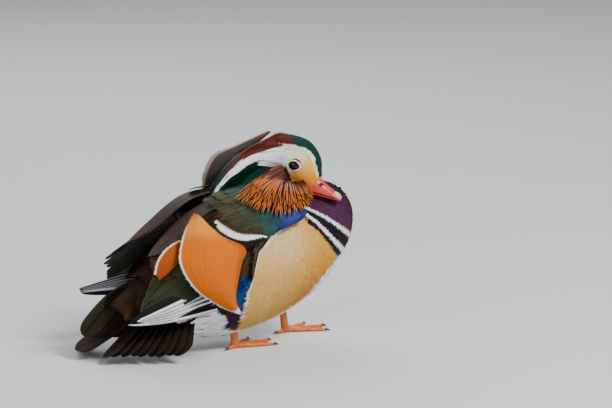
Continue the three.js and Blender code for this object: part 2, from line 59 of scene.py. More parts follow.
# The photograph's view: pixels to the millimetre, and the pixel where the body's origin shows
AZIMUTH, ELEVATION = math.radians(-32), math.radians(10)
PIXELS_PER_MM = 1.12
ORIGIN_PIXEL = (256.0, 256.0)
PICTURE = (612, 408)
VIEW_RIGHT = np.array([math.cos(AZIMUTH), math.sin(AZIMUTH), 0.0])
VIEW_BACK = np.array([
    math.sin(AZIMUTH) * math.cos(ELEVATION), -math.cos(AZIMUTH) * math.cos(ELEVATION), math.sin(ELEVATION),
])
VIEW_UP = np.cross(VIEW_BACK, VIEW_RIGHT)

# Head: the point between the eyes, its heading and its pitch
HEAD_PLACE = np.array([41.3, -8.7, 82.6])
HEADING, PITCH = math.radians(-49), math.radians(12)
HEAD_FORWARD = np.array([
    math.cos(PITCH) * math.cos(HEADING), math.cos(PITCH) * math.sin(HEADING), -math.sin(PITCH),
])
HEAD_LEFT = np.array([-math.sin(HEADING), math.cos(HEADING), 0.0])
HEAD_UP = np.cross(HEAD_FORWARD, HEAD_LEFT)
HEAD_AXES = np.stack([HEAD_FORWARD, HEAD_LEFT, HEAD_UP])


def from_head(points):
    return np.asarray(points, float) @ HEAD_AXES + HEAD_PLACE


def to_head(points):
    return (np.asarray(points, float) - HEAD_PLACE) @ HEAD_AXES.T


def unit(vectors):
    vectors = np.asarray(vectors, float)
    return vectors / np.maximum(np.linalg.norm(vectors, axis=-1, keepdims=True), 1e-9)


def xyz(*coordinates):
    """Points from coordinates that broadcast together."""
    return np.stack(np.broadcast_arrays(*coordinates), -1)


def circle(count):
    """Cosines and sines of evenly stepped angles."""
    angles = np.linspace(0, 2 * np.pi, count, endpoint=False)
    return np.cos(angles), np.sin(angles)


def seen(pixel_x, pixel_y, y):
    """The point at a given distance left of the body's middle plane that shows at a pixel."""
    right = (pixel_x - ORIGIN_PIXEL[0]) / PIXELS_PER_MM
    up = (ORIGIN_PIXEL[1] - pixel_y) / PIXELS_PER_MM
    x = (right - VIEW_RIGHT[1] * y) / VIEW_RIGHT[0]
    return np.array([x, y, (up - VIEW_UP[0] * x - VIEW_UP[1] * y) / VIEW_UP[2]])


def all_seen(*places):
    return [seen(*place) for place in places]


def torso_section(x, grow=0.0):
    """Middle height, half height and half width of the torso at stations along x."""
    x = np.asarray(x, float)
    hollow = 13 * np.exp(-(((x - 38) / 26) ** 2))
    roundness = np.sqrt(np.maximum(0, 1 - (np.maximum(x, 0) / (BREAST_REACH + grow)) ** 2))
    share = np.maximum(-x, 0) / RUMP_REACH
    front = x >= 0
    top = np.where(front, 0.321 * x + (61.3 + grow) * roundness - hollow * roundness,
                   61.3 - 85 * share ** 1.9 - hollow + grow)
    bottom = np.where(front, 0.321 * x - (61.3 + grow) * roundness,
                      -61.3 - 40 * share + 71.3 * share ** 2.27 - grow)
    width = np.where(front, (56 + grow) * roundness, 56 * (1 - 0.76 * share ** 2.2) + grow)
    return (top + bottom) / 2, (top - bottom) / 2, width


def outward(points):
    """Direction straight out of the torso."""
    x, y, z = np.moveaxis(np.asarray(points, float), -1, 0)
    middle, half, width = torso_section(np.clip(x, -115, BREAST_REACH - 2))
    return unit(xyz(0, y / width ** 2, (z - middle) / half ** 2))


def rest_on(points, margin):
    """Points moved straight out of the torso until they clear it by a margin."""
    x, y, z = np.moveaxis(np.asarray(points, float), -1, 0)
    middle, half, width = torso_section(np.clip(x, -RUMP_REACH, BREAST_REACH - 1), margin)
    reach = np.hypot(y / width, (z - middle) / half)
    scale = np.where((reach < 1) & (x > -RUMP_REACH), 1 / np.maximum(reach, 0.05), 1.0)
    return xyz(x, y * scale, middle + (z - middle) * scale)


def smooth_line(points, count):
    """Evenly stepped points of a Catmull-Rom curve through the given ones."""
    points = np.asarray(points, float)
    ends = np.array([2 * points[0] - points[1], *points, 2 * points[-1] - points[-2]])
    at = np.linspace(0, len(points) - 1, count)
    first = np.minimum(at.astype(int), len(points) - 2)
    t = (at - first)[:, None]
    p0, p1, p2, p3 = (ends[first + k] for k in range(4))
    return 0.5 * (2 * p1 + (p2 - p0) * t + (2 * p0 - 5 * p1 + 4 * p2 - p3) * t ** 2
                  + (3 * p1 - p0 - 3 * p2 + p3) * t ** 3)


def step(value, edge, softness):
    """Smooth step from 0 to 1 as the value passes the edge."""
    t = np.clip((value - edge) / softness + 0.5, 0, 1)
    return t * t * (3 - 2 * t)


def painted(base, *layers):
    """Colours laid over a base one after the other, each with its share."""
    tone = np.asarray(base, float)
    for colour, share in layers:
        tone = tone + (colour - tone) * np.asarray(share)[..., None]
    return tone


def rgb(*colour):
    return np.array(colour)


# Colours of the plumage, linear
MAROON = rgb(0.036, 0.008, 0.020)
BREAST_SHEEN = rgb(0.060, 0.014, 0.050)
BLACK = rgb(0.004, 0.004, 0.006)
WHITE = rgb(0.88, 0.88, 0.86)
CREAM = rgb(0.86, 0.70, 0.46)
GOLD = rgb(0.64, 0.29, 0.040)
PALE_GOLD = rgb(0.68, 0.41, 0.11)
CHEEK = rgb(0.80, 0.25, 0.012)
LORES = rgb(0.84, 0.42, 0.06)
HACKLE = rgb(0.22, 0.031, 0.002)
HACKLE_ROOT = rgb(0.14, 0.020, 0.003)
HACKLE_TIP = rgb(0.42, 0.085, 0.003)
HACKLE_GAP_SHADE = rgb(0.022, 0.004, 0.008)
HACKLE_SHAFT_AND_HIGHLIGHT = rgb(0.80, 0.46, 0.30)
HACKLE_GOLD = rgb(0.86, 0.27, 0.010)
COPPER = rgb(0.090, 0.011, 0.005)
GREEN = rgb(0.002, 0.028, 0.023)
BOTTLE_GREEN = rgb(0.002, 0.040, 0.024)
VIOLET = rgb(0.026, 0.040, 0.22)
TEAL = rgb(0.010, 0.056, 0.062)
OLIVE = rgb(0.036, 0.040, 0.014)
OLIVE_EDGE = rgb(0.060, 0.060, 0.035)
OLIVE_BROWN = rgb(0.060, 0.038, 0.014)
OLIVE_BLACK = rgb(0.012, 0.018, 0.006)
WEB_BLACK = rgb(0.008, 0.009, 0.008)
BROWN = rgb(0.040, 0.018, 0.008)
DARK_BROWN = rgb(0.014, 0.009, 0.006)
TAN = rgb(0.17, 0.080, 0.026)
TAIL_EDGE = rgb(0.050, 0.036, 0.022)
TAIL_GLOSS = rgb(0.024, 0.019, 0.010)
SAIL_ORANGE = rgb(0.64, 0.132, 0.001)
SAIL_TOP = rgb(0.78, 0.27, 0.015)
SAIL_SHADE = rgb(0.36, 0.070, 0.004)
SAIL_SHADE_DARK = rgb(0.20, 0.035, 0.004)
SAIL_INSIDE_IN_SHADE = rgb(0.055, 0.042, 0.038)
SAIL_EDGE_IN_SHADE = rgb(0.30, 0.25, 0.22)
CHESTNUT = rgb(0.17, 0.050, 0.022)
BLUE = rgb(0.004, 0.060, 0.25)
PURPLE = rgb(0.035, 0.008, 0.030)
SILVER_IN_SHADE = rgb(0.80, 0.80, 0.88)


class Look:
    """A material whose nodes are added with their settings and inputs."""

    def __init__(self, name, roughness, specular, more=()):
        self.material = bpy.data.materials.new(name)
        self.material.use_nodes = True
        self.material.node_tree.nodes.clear()
        self.surface = self.node(
            "BsdfPrincipled", {"Roughness": roughness, "Specular IOR Level": specular, **dict(more)},
        )
        self.node("OutputMaterial", {"Surface": self.surface.outputs["BSDF"]})

    def link(self, value, node, key):
        self.material.node_tree.links.new(value, node.inputs[key])

    def node(self, kind, inputs=(), **settings):
        node = self.material.node_tree.nodes.new("ShaderNode" + kind)
        for name, value in settings.items():
            setattr(node, name, value)
        for key, value in dict(inputs).items():
            if isinstance(value, bpy.types.NodeSocket):
                self.link(value, node, key)
            else:
                node.inputs[key].default_value = value
        return node

    def maths(self, operation, *values):
        return self.node("Math", enumerate(values), operation=operation).outputs[0]

    def noise(self, scale, detail):
        """Fine noise over the piece, and the place that it is measured from."""
        place = self.node("TexCoord").outputs["Object"]
        return place, self.node("TexNoise", {"Vector": place, "Scale": scale, "Detail": detail}).outputs["Fac"]

    def colour(self, share, first, last, start=0.0, end=1.0):
        """Base colour that goes from the first colour to the last as the share rises."""
        ramp = self.node("ValToRGB", {"Fac": share})
        for stop, colour, position in zip(ramp.color_ramp.elements, (first, last), (start, end)):
            stop.color, stop.position = (*colour, 1), position
        self.link(ramp.outputs["Color"], self.surface, "Base Color")

    def relief(self, height, strength, distance):
        bump = self.node("Bump", {"Strength": strength, "Distance": distance, "Height": height})
        self.link(bump.outputs["Normal"], self.surface, "Normal")


def plumage(name, roughness, specular, barb_depth, barbs, mottle=0.16, waves=False):
    """Feather surface: the painted tone, fine mottling and barbs slanting out from the shaft."""
    look = Look(name, roughness, specular)
    place, noise = look.noise(420.0, 4.0)
    vane = look.node("UVMap", uv_map="vane").outputs["UV"]
    across, along, _ = look.node("SeparateXYZ", {0: vane}).outputs
    off_shaft = look.maths("ABSOLUTE", look.maths("SUBTRACT", across, 0.5))
    slant = look.maths("SUBTRACT", along, look.maths("MULTIPLY", off_shaft, 0.5))
    wave = look.maths("SINE", look.maths("MULTIPLY", slant, barbs * 2 * math.pi))
    shade = look.maths("MULTIPLY_ADD", noise, mottle * 2, 1 - mottle)
    # The barbs also lighten and darken the colour a little along their ridges and grooves: painted light and
    # shade.
    shade = look.maths("ADD", shade, look.maths("MULTIPLY", wave, 0.05))
    if waves:
        band = look.node("TexWave", {
            "Vector": place, "Scale": 230.0, "Distortion": 3.5, "Detail": 2.0, "Detail Scale": 1.6,
        }, bands_direction="X")
        line = look.node("MapRange", {
            "Value": band.outputs["Fac"], "From Min": 0.05, "From Max": 0.38, "To Min": 0.72, "To Max": 1.0,
        })
        shade = look.maths("MULTIPLY", shade, line.outputs["Result"])
    tone = look.node("Attribute", attribute_name="tone").outputs["Color"]
    shaded = look.node("VectorMath", {0: tone, "Scale": shade}, operation="SCALE")
    look.link(shaded.outputs[0], look.surface, "Base Color")
    look.relief(look.maths("ADD", wave, look.maths("MULTIPLY", noise, 1.5)), barb_depth, 0.0003)
    return look.material


def plain(name, roughness, colour, specular=0.5, coat=0.0, spots=None, scale=300.0, depth=0.1):
    """Bare skin, horn or glass: a colour with fine variation and a little relief."""
    look = Look(name, roughness, specular, {"Coat Weight": coat, "Coat Roughness": 0.08})
    place, height = look.noise(scale, 5.0)
    look.colour(height, rgb(*colour) * 0.7, np.clip(rgb(*colour) * 1.2, 0, 1), 0.3, 0.7)
    if spots:
        cells = look.node("TexVoronoi", {"Vector": place, "Scale": spots})
        height = look.maths("MULTIPLY", cells.outputs["Distance"], -1.4)
    look.relief(height, depth, 0.0004)
    return look.material


SOFT = plumage("soft_plumage", 0.75, 0.15, 0.25, barbs=9.0)
FACE = plumage("face_plumage", 0.70, 0.12, 0.15, barbs=4.0, mottle=0.08)
GLOSSY = plumage("glossy_plumage", 0.48, 0.14, 0.35, barbs=34.0)
VANE = plumage("flight_plumage", 0.62, 0.08, 0.35, barbs=60.0)
SAIL = plumage("sail_plumage", 0.60, 0.12, 0.30, barbs=90.0, mottle=0.10)
HACKLE_COAT = plumage("hackle_plumage", 0.50, 0.15, 0.2, barbs=24.0, mottle=0.12)
FLANK = plumage("flank_plumage", 0.66, 0.14, 0.15, barbs=9.0, mottle=0.08, waves=True)
LEG_SKIN = plain("leg_skin", 0.42, (0.62, 0.13, 0.010), spots=850.0, depth=0.6)
WEB_SKIN = plain("web_skin", 0.5, (0.44, 0.11, 0.02), spots=700.0, depth=0.4)
CLAW = plain("claw_horn", 0.35, (0.035, 0.022, 0.016))
BILL_HORN = plain("bill_horn", 0.42, (0.60, 0.040, 0.034), coat=0.12, scale=160.0, depth=0.05)
NAIL_HORN = plain("bill_nail", 0.3, (0.66, 0.44, 0.36), coat=0.3, scale=200.0, depth=0.05)
MOUTH_DARK = plain("mouth_line", 0.6, (0.05, 0.012, 0.012))
EYE_GLASS = plain("eye_dark", 0.09, (0.004, 0.0025, 0.002), specular=0.35, scale=60.0, depth=0.0)
LID_SKIN = plain("eyelid_skin", 0.5, (0.80, 0.76, 0.66), depth=0.15)


def add_piece(name, mesh, material):
    mesh.polygons.foreach_set("use_smooth", np.ones(len(mesh.polygons), bool))
    mesh.materials.append(material)
    piece = bpy.data.objects.new(name, mesh)
    bpy.context.scene.collection.objects.link(piece)
    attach(piece, "root")


def add_mesh(name, points, quads, material, slot, tone=None, vane=None, bake=None):
    """A mesh piece from body-frame points in millimetres and faces of four corners."""
    points = np.asarray(points, np.float32).reshape(-1, 3)
    quads = np.asarray(quads, np.int32).reshape(-1, 4)
    mesh = bpy.data.meshes.new(name)
    mesh.vertices.add(len(points))
    mesh.vertices.foreach_set("co", ((points + BODY_ORIGIN) / 1000).astype(np.float32).ravel())
    mesh.loops.add(quads.size)
    mesh.loops.foreach_set("vertex_index", quads.ravel())
    mesh.polygons.add(len(quads))
    mesh.polygons.foreach_set("loop_start", np.arange(0, quads.size, 4, dtype=np.int32))
    for label, values in (("vane", vane), ("OFBake", bake)):
        if values is not None:
            values = np.asarray(values, np.float32).reshape(-1, 2)
            values = values if len(values) == quads.size else values[quads.ravel()]
            mesh.uv_layers.new(name=label).data.foreach_set("uv", values.ravel())
    if tone is not None:
        colours = np.ones((len(points), 4), np.float32)
        colours[:, :3] = np.clip(np.asarray(tone).reshape(-1, 3), 0, 1)
        layer = mesh.color_attributes.new(name="tone", type="FLOAT_COLOR", domain="POINT")
        layer.data.foreach_set("color", colours.ravel())
    mesh.update()
    mesh.validate()
    add_piece(name, mesh, material)


def add_shell(name, shell, material):
    """A bare piece from points and faces of three or four corners."""
    points, faces = shell
    mesh = bpy.data.meshes.new(name)
    mesh.from_pydata(((points + BODY_ORIGIN) / 1000).tolist(), [], [list(face) for face in faces])
    add_piece(name, mesh, material)


def grid_quads(rows, columns, copies=1, closed=False):
    """Faces of a grid of points, repeated for each copy, with the columns joined up where closed."""
    i, j = np.meshgrid(np.arange(rows - 1), np.arange(columns if closed else columns - 1), indexing="ij")
    a = i * columns + j
    b = i * columns + (j + 1) % columns
    one = np.stack([a, b, b + columns, a + columns], -1).reshape(-1, 4)
    return (one[None] + (np.arange(copies) * rows * columns)[:, None, None]).reshape(-1, 4)


def tube(rings):
    """A closed surface over rings of points: points and faces of three or four corners."""
    rows, columns = rings.shape[:2]
    points = np.concatenate([rings.reshape(-1, 3), rings[:1].mean(1), rings[-1:].mean(1)])
    faces = grid_quads(rows, columns, closed=True).tolist()
    start = rows * columns
    for j in range(columns):
        k = (j + 1) % columns
        faces.append([k, j, start])
        faces.append([start - columns + j, start - columns + k, start + 1])
    return points, faces


def joined(shells):
    """Several shells as one: points and faces."""
    points, faces = [], []
    for shell_points, shell_faces in shells:
        start = sum(len(p) for p in points)
        points.append(shell_points)
        faces += [[start + v for v in face] for face in shell_faces]
    return np.concatenate(points), faces


def shaped(shells, voxel, smoothing):
    """One smooth closed surface round several overlapping ones: points, quads and normals."""
    points, faces = joined(shells)
    mesh = bpy.data.meshes.new("shape")
    mesh.from_pydata(points.tolist(), [], faces)
    shape = bpy.data.objects.new("shape", mesh)
    bpy.context.scene.collection.objects.link(shape)
    remesh = shape.modifiers.new("remesh", "REMESH")
    remesh.mode, remesh.voxel_size = "VOXEL", voxel
    smooth = shape.modifiers.new("smooth", "SMOOTH")
    smooth.factor, smooth.iterations = 0.5, smoothing
    result = shape.evaluated_get(bpy.context.evaluated_depsgraph_get()).to_mesh()

    def read(items, attribute, size, kind):
        values = np.empty(len(items) * size, kind)
        items.foreach_get(attribute, values)
        return values.reshape(-1, size)

    at = read(result.vertices, "co", 3, np.float32).astype(float)
    normals = read(result.vertices, "normal", 3, np.float32).astype(float)
    corners = read(result.loops, "vertex_index", 1, np.int32).reshape(-1, 4)
    assert (read(result.polygons, "loop_total", 1, np.int32) == 4).all()
    shape.to_mesh_clear()
    bpy.data.objects.remove(shape)
    bpy.data.meshes.remove(mesh)
    return at, corners, normals


def contour(t, shoulder, tip=0.12, root=0.5):
    """Share of full width along a feather from its root to its tip."""
    rise = root + (1 - root) * np.minimum(t / 0.3, 1)
    fall = np.sqrt(np.maximum(0, 1 - np.clip((t - shoulder) / (1 - shoulder), 0, 1) ** 2))
    return np.maximum(rise * fall, tip)


def strips(lines, face, half, columns, camber=0.0):
    """Points of strips along lines of points, their outer face turned to a direction."""
    tangent = unit(np.gradient(lines, axis=1))
    across = unit(np.cross(tangent, face))
    k = np.linspace(-1, 1, columns)
    points = lines[:, :, None] + across[:, :, None] * (half[..., None] * k)[..., None]
    normal = np.cross(across, tangent)
    return points - normal[:, :, None] * (camber * half[..., None] * k ** 2)[..., None]


def patch(rows, columns):
    """Place of each point of a grid, across and along it."""
    return np.stack(np.meshgrid(np.linspace(0, 1, columns), np.linspace(0, 1, rows)), -1)


TUFT = 0.003             # size of a small feather on the map for baking


def add_feathers(name, material, slot, points, tone, roots):
    """A piece of small feathers, each baked at its root's place on the skin's unwrap."""
    cell = patch(*points.shape[1:3])
    bake = np.clip(skin_unwrap(roots)[:, None, None] + TUFT * (cell - 0.5), 0.001, 0.999)
    add_mesh(name, points, grid_quads(*points.shape[1:3], len(points)), material, slot, tone,
             np.broadcast_to(cell, bake.shape), bake)


class Coat:
    """Many small feathers gathered into one piece."""

    def __init__(self, name, material, slot, rows=4, columns=3):
        self.label, self.rows, self.columns = (name, material, slot), rows, columns
        self.points, self.tones, self.roots = [], [], []

    def add(self, roots, lie, normals, length, width, tone, rise, droop=0.12, camber=0.25,
            edge_tone=None, shoulder=0.5, paint=None):
        count = len(roots)
        t = np.linspace(0, 1, self.rows)
        k = np.linspace(-1, 1, self.columns)
        length, width = (np.broadcast_to(np.asarray(v, float), count)[:, None] for v in (length, width))
        lie = unit(lie)
        normals = unit(normals - lie * (lie * normals).sum(-1, keepdims=True))
        side = np.cross(lie, normals)
        lift = (rise * t - droop * t ** 2) * length
        centre = roots[:, None] + lie[:, None] * (length * t)[..., None] + normals[:, None] * lift[..., None]
        half = width / 2 * contour(t, shoulder)
        points = centre[:, :, None] + side[:, None, None] * (half[..., None] * k)[..., None]
        points = points - normals[:, None, None] * (camber * half[..., None] * k ** 2)[..., None]
        tone = np.broadcast_to(tone, (count, 3))[:, None, None]
        shades = np.broadcast_to(tone, points.shape)
        if paint is not None:
            shades = paint(points.reshape(-1, 3)).reshape(points.shape) * tone
        if edge_tone is not None:
            edge_tone = np.broadcast_to(edge_tone, (count, 3))[:, None, None]
            shades = painted(shades, (edge_tone, k ** 2 * np.clip(t * 3, 0, 1)[:, None]))
        for gathered, part in ((self.points, points), (self.tones, shades), (self.roots, roots)):
            gathered.append(part)

    def build(self):
        add_feathers(*self.label, *map(np.concatenate, (self.points, self.tones, self.roots)))


def vane_tone(t, k, base, edge, edge_from, outer, gloss=None, edge_to=9):
    """Colours over a large feather: its web, its dark shaft and a line along one edge."""
    web = base * dice.uniform(0.85, 1.15)
    return painted(
        web, (web if gloss is None else gloss, step(t, 0.55, 0.7) * (1 - 0.4 * np.abs(k))),
        (base * 0.25, np.exp(-((k / 0.09) ** 2)) * 0.8),
        (edge, step(k * outer, edge_from, 0.1) * step(edge_to - k * outer, 0, 0.1)),
    )


class Vanes:
    """Large feathers gathered into one piece, each with its own cell for baking."""

    def __init__(self, name, material, slot, rows=22, columns=9):
        self.label, self.rows, self.columns = (name, material, slot), rows, columns
        self.sheets, self.tones = [], []

    def lay(self, lines, across, width, outline, look, lean=0.27, margin=None, facing=None):
        """A feather along each line of root, middle and tip, leaning to one side."""
        t, k = np.linspace(0, 1, self.rows), np.linspace(-1, 1, self.columns)
        for line in lines:
            line = line if margin is None else rest_on(line, margin)
            face = unit((outward(line[1]) if facing is None else np.array(facing)) + lean * across)
            half = width * dice.uniform(0.95, 1.05) / 2 * contour(t, *outline)
            sheet = strips(smooth_line(line, self.rows)[None], face, half[None], self.columns, 0.12)[0]
            sheet[..., 2] = np.maximum(sheet[..., 2], LOWEST_FEATHER)
            self.sheets.append(sheet)
            self.tones.append(vane_tone(t[:, None], k, **look))

    def build(self):
        count = len(self.sheets)
        cells = math.ceil(math.sqrt(count))
        cell = patch(self.rows, self.columns)
        corner = np.array([[n % cells, n // cells] for n in range(count)])[:, None, None]
        bake = (corner + 0.04 + 0.92 * cell) / cells
        add_mesh(self.label[0], np.array(self.sheets), grid_quads(self.rows, self.columns, count),
                 *self.label[1:], np.array(self.tones), np.broadcast_to(cell, bake.shape), bake)


# Skin: torso, neck, skull and crown as one closed surface, inside the solids by the coat's depth
COAT_DEPTH = 1.5
WING_OUTLINE = np.array([
    (38, 30), (30, 52), (0, 74), (-45, 76), (-92, 52), (-120, 14),
    (-112, -20), (-80, -27), (-40, -18), (0, 2), (28, 14), (38, 30),
], float)
SKULL = [
    (-35, 2, -8, 4), (-31, 10, -16, 11), (-23, 16, -22, 16.5), (-12, 19.5, -25, 20), (0, 19.5, -26, 20.6),
    (9, 15, -26, 17.6), (15, 9.5, -25.5, 13.4), (19, 3, -24.5, 9.8), (21.5, -5, -22.5, 6.5),
]
CROWN = [
    (-37, 8, -2, 5), (-32, 16, -2, 11), (-22, 21.5, 0, 14.5), (-11, 23.5, 4, 16),
    (2, 22, 5, 15), (12, 15.5, 3, 11), (18, 8, 0, 6.5), (20.5, 2, -1, 3),
]
NECK_START, NECK_RADII = np.array([33.0, -1, 34]), (31.0, 19.5)
WING_STANDS_OUT, WING_FADES_OVER = 5.5, 9
FAR_WING_RISE = 7.0      # the left wing is held higher than the right one

# Markings, in the side view of the body and of the head
BAR_ONE = [(28, 47.5), (34.9, 44.4), (43.3, 39.8), (53.5, 33.1), (66, 24.4), (82.1, 15.6), (97, 10)]
BAR_TWO = [(24, 43), (29.5, 40.2), (36.6, 34.7), (44.5, 25.5), (55.5, 14.4), (70.1, 4.2), (90, -6)]
BAR_EDGE = [(22, 40), (27.5, 36.8), (34.8, 30.7), (43.3, 20.4), (51.4, 11.4), (59.7, 4.4), (80, -10)]
FLANK_TOP = [
    (-38.8, -47.5), (-38.1, -41.5), (-38.4, -28.9), (-35.6, -12.8), (-32.3, 0.1), (-27.4, 12.2),
    (-13.6, 24.5), (7, 34.3), (28.1, 39.9),
]
BELLY_TOP = [
    (-110, -30), (-70, -48), (-38, -60), (-19.7, -58), (-1.7, -52.5), (29.2, -35.5),
    (39.7, -21.5), (51.7, -10), (68.1, 0.8), (75, 5), (97, 9),
]
BROW_TOP = [
    (-42, -5.5), (-35, 4.7), (-24, 12.5), (-14, 15.6), (-4, 16.6), (6, 15.6), (12, 12.8), (16, 9.4), (20.5, 3),
]
BROW_LOW = [
    (-46, -18.3), (-29.5, -10.2), (-18, -5.5), (-7.5, -2.6), (-5, -5), (-1, -12), (2.5, -20), (6, -26),
    (12, -31), (20, -33),
]


def height_of(line, x):
    return np.interp(x, *np.asarray(line, float).T)


BAR_DROP = 3.0           # how far the lower bar's black edge covers the flank


def flank_edge(x, drop=BAR_DROP):
    """Height of the upper edge of the flank's feathers."""
    return np.where(x > 28, height_of(BAR_EDGE, x) - drop, height_of(FLANK_TOP, x))


def line_distance(x, z, line):
    """Distance from points to a line of points, in the side view."""
    at = np.stack([x, z], -1)
    best = np.full(at.shape[:-1], 1e9)
    line = np.asarray(line, float)
    for a, b in zip(line[:-1], line[1:]):
        along = np.clip(((at - a) @ (b - a)) / ((b - a) @ (b - a)), 0, 1)
        best = np.minimum(best, np.linalg.norm(at - a - along[..., None] * (b - a), axis=-1))
    return best


def inside_outline(x, z, outline):
    inside = np.zeros(np.shape(x), bool)
    for (x0, z0), (x1, z1) in zip(outline[:-1], outline[1:]):
        inside ^= ((z0 > z) != (z1 > z)) & (x < (x1 - x0) * (z - z0) / (z1 - z0) + x0)
    return inside


def wing_lift(x, y, z):
    """How far the folded wing stands out of the torso, inside its outline and fading to the edge."""
    height = z - np.where(y > 0, FAR_WING_RISE, 0.0)
    inside = inside_outline(x, height, WING_OUTLINE)
    depth = line_distance(x, height, WING_OUTLINE)
    depth = np.where(x > -38, np.minimum(depth, np.maximum(z - flank_edge(x, 0) - 1, 0)), depth)
    lift = WING_STANDS_OUT * np.clip(depth / WING_FADES_OVER, 0, 1) * np.clip((np.abs(y) - 5) / 8, 0, 1)
    return np.where(inside & (np.abs(y) > 5), lift, 0)


def torso_tube():
    rear = np.linspace(-RUMP_REACH + COAT_DEPTH, 0, 60, endpoint=False)
    front = (BREAST_REACH - COAT_DEPTH) * np.sin(np.linspace(0, math.radians(88), 50))
    x = np.concatenate([rear, front])[:, None]
    middle, half, width = torso_section(x, -COAT_DEPTH)
    cos, sin = circle(120)
    lift = wing_lift(x + 0 * cos, width * cos, middle + half * sin)
    return tube(xyz(x, (width + lift) * cos, middle + (half + lift) * sin))


def head_tube(stations):
    x, top, bottom, half = smooth_line(stations, 40).T[..., None]
    cos, sin = circle(72)
    height = np.maximum(1.0, (top - bottom) / 2 - COAT_DEPTH)
    width = np.maximum(1.0, half - COAT_DEPTH)
    return tube(from_head(xyz(x, width * cos, (top + bottom) / 2 + height * sin)))


def neck_tube():
    t = np.linspace(0, 1, 20)[:, None]
    radius = NECK_RADII[0] + (NECK_RADII[1] - NECK_RADII[0]) * np.sin(t * math.pi / 2) - COAT_DEPTH
    cos, sin = circle(72)
    centre = NECK_START + (from_head([-9, 0, -8]) - NECK_START) * t[..., None]
    return tube(centre + xyz(radius * cos, radius * sin, 0))


def head_share(points):
    """1 on the head and neck, 0 on the torso."""
    x, y, z = points.T
    middle, half, width = torso_section(np.clip(x, -RUMP_REACH, BREAST_REACH - 1), 3.0)
    reach = np.hypot(y / np.maximum(width, 1), (z - middle) / np.maximum(half, 1))
    return ((reach > 1) & (x > -8) & (z > 42)).astype(float)


def body_tone(points):
    x, y, z = points.T
    front = x > 24
    above_one = (z - height_of(BAR_ONE, x)) * 0.83
    above_two = (z - height_of(BAR_TWO, x)) * 0.80
    breast = painted(MAROON, (BREAST_SHEEN, step(np.abs(y), 22, 30)))
    flank = (x > -38) & (z < flank_edge(x))
    buff = painted(PALE_GOLD, (GOLD, step(x - 0.5 * z, 16, 60)),
                   (CREAM, 0.35 * step(z, 5, 40) * step(-x, -14, 30)))
    beyond = ~flank & (x < 22) & (z < 45)
    off = line_distance(x, z, FLANK_TOP)
    belly = height_of(BELLY_TOP, x) + 1.2 * np.sin(x * 0.9)
    return painted(
        DARK_BROWN,
        (BROWN, step(np.sin(x * 0.35) * np.cos(z * 0.3), 0, 1.6)),
        (breast, front & (above_one > 0)),
        (breast, step(x, 83, 3) * front),
        (BLACK, front & (above_one < 0) & (above_two > 0) & (x < 84)),
        (WHITE, front & (x < 83) & (np.abs(above_one) < np.interp(x, [28, 72], [0.8, 1.9]))),
        (BLACK, front & (above_two < 0) & (z > height_of(BAR_EDGE, x) - BAR_DROP)),
        (WHITE, front & (x < 74) & (np.abs(above_two) < np.interp(x, [24, 66], [1.3, 2.2]))),
        (buff, flank),
        (painted(BLUE, (OLIVE_BROWN, z > -6), (PURPLE, z < -38)), beyond & (off < 14) & (z < 30)),
        (BLACK, beyond * step(4.2 - off, 0, 1.2)),
        (WHITE, beyond * step(1.7 - off, 0, 0.8)),
        (WHITE, step(belly - z, 0, 2.5)),
        (WHITE, (x < -52) & (z < np.interp(x, [-128, -90, -70, -52], [-36, -36, -33, -46]))),
    )


BILL_BASE, BILL_LENGTH = 8, 35.6


def bill_half(a):
    t = np.clip((a - BILL_BASE) / BILL_LENGTH, 0, 1)
    return 8.2 - 2.6 * t + 3.4 * (1 - t) ** 3


def bill_top(a):
    t = np.clip((a - BILL_BASE) / BILL_LENGTH, 0, 1)
    return -3.5 - 16.8 * t ** 0.8 - 1.1 * np.sin(np.pi * t) + 6.5 * (1 - t) ** 2


def head_tone(points):
    a, s, b = to_head(points).T
    x, _, z = points.T
    side = np.abs(s)
    top, low = height_of(BROW_TOP, a), height_of(BROW_LOW, a)
    strip = np.interp(a, [0, 6, 14, 21], [12, 10.5, 7.6, 5.4])
    crown = painted(
        COPPER, (GREEN, step(a - 1.1 * side, -20, 8)),
        (WHITE, np.exp(-((b - top - 0.2) / 0.6) ** 2) * step(a, 4, 8) * (side > strip)),
    )
    brow = painted(WHITE, (CREAM, step(a, -6, 16)), (LORES, step(a - 0.5 * b, 4, 14)),
                   (CHEEK, step(-b, 5, 12) * step(a, -2, 10) * 0.85))
    forehead = (a > 2) & (b > -8)
    drop = step(-28 - b, 0, 5)
    return painted(
        # The coat under the hackles takes their orange dimmed and darkened: painted shade between the locks.
        painted(HACKLE * 0.8, (HACKLE_GAP_SHADE, 0.3)),
        (brow, b > low),
        (WHITE, forehead & (side < strip + 1.2)),
        (crown, (b > top) | (forehead & (side < strip))),
        (BOTTLE_GREEN * 0.6, (a < -20) & (b < low - 1)),
        (HACKLE * 0.6, drop),
        (BOTTLE_GREEN * 0.4, step(-a, 12, 8) * drop),
        (MAROON, step(54 - z, 0, 8) * step(x, 5, 20)),
    )


def skin_tone(points):
    return painted(body_tone(points), (head_tone(points), head_share(points)))


def lie_at(points, normals):
    """Which way the feathers lie: back along the body, down the breast and neck, back over the head."""
    x, _, z = points.T
    share = head_share(points)[:, None]
    body = xyz(-1, 0, -0.10 - 0.9 * step(x, 72, 40))
    down = step(from_head([0, 0, -16])[2] - z, 0, 14)[:, None]
    head = unit(points - from_head([20, 0, -12])) - 0.5 * HEAD_FORWARD + 0.2 * HEAD_UP
    neck = unit(points - NECK_START) * (0.55, 0.55, 0) + (-0.2, 0, -1)
    lie = body * (1 - share) + (head * (1 - down) + neck * down) * share
    return unit(lie - normals * (lie * normals).sum(1, keepdims=True))


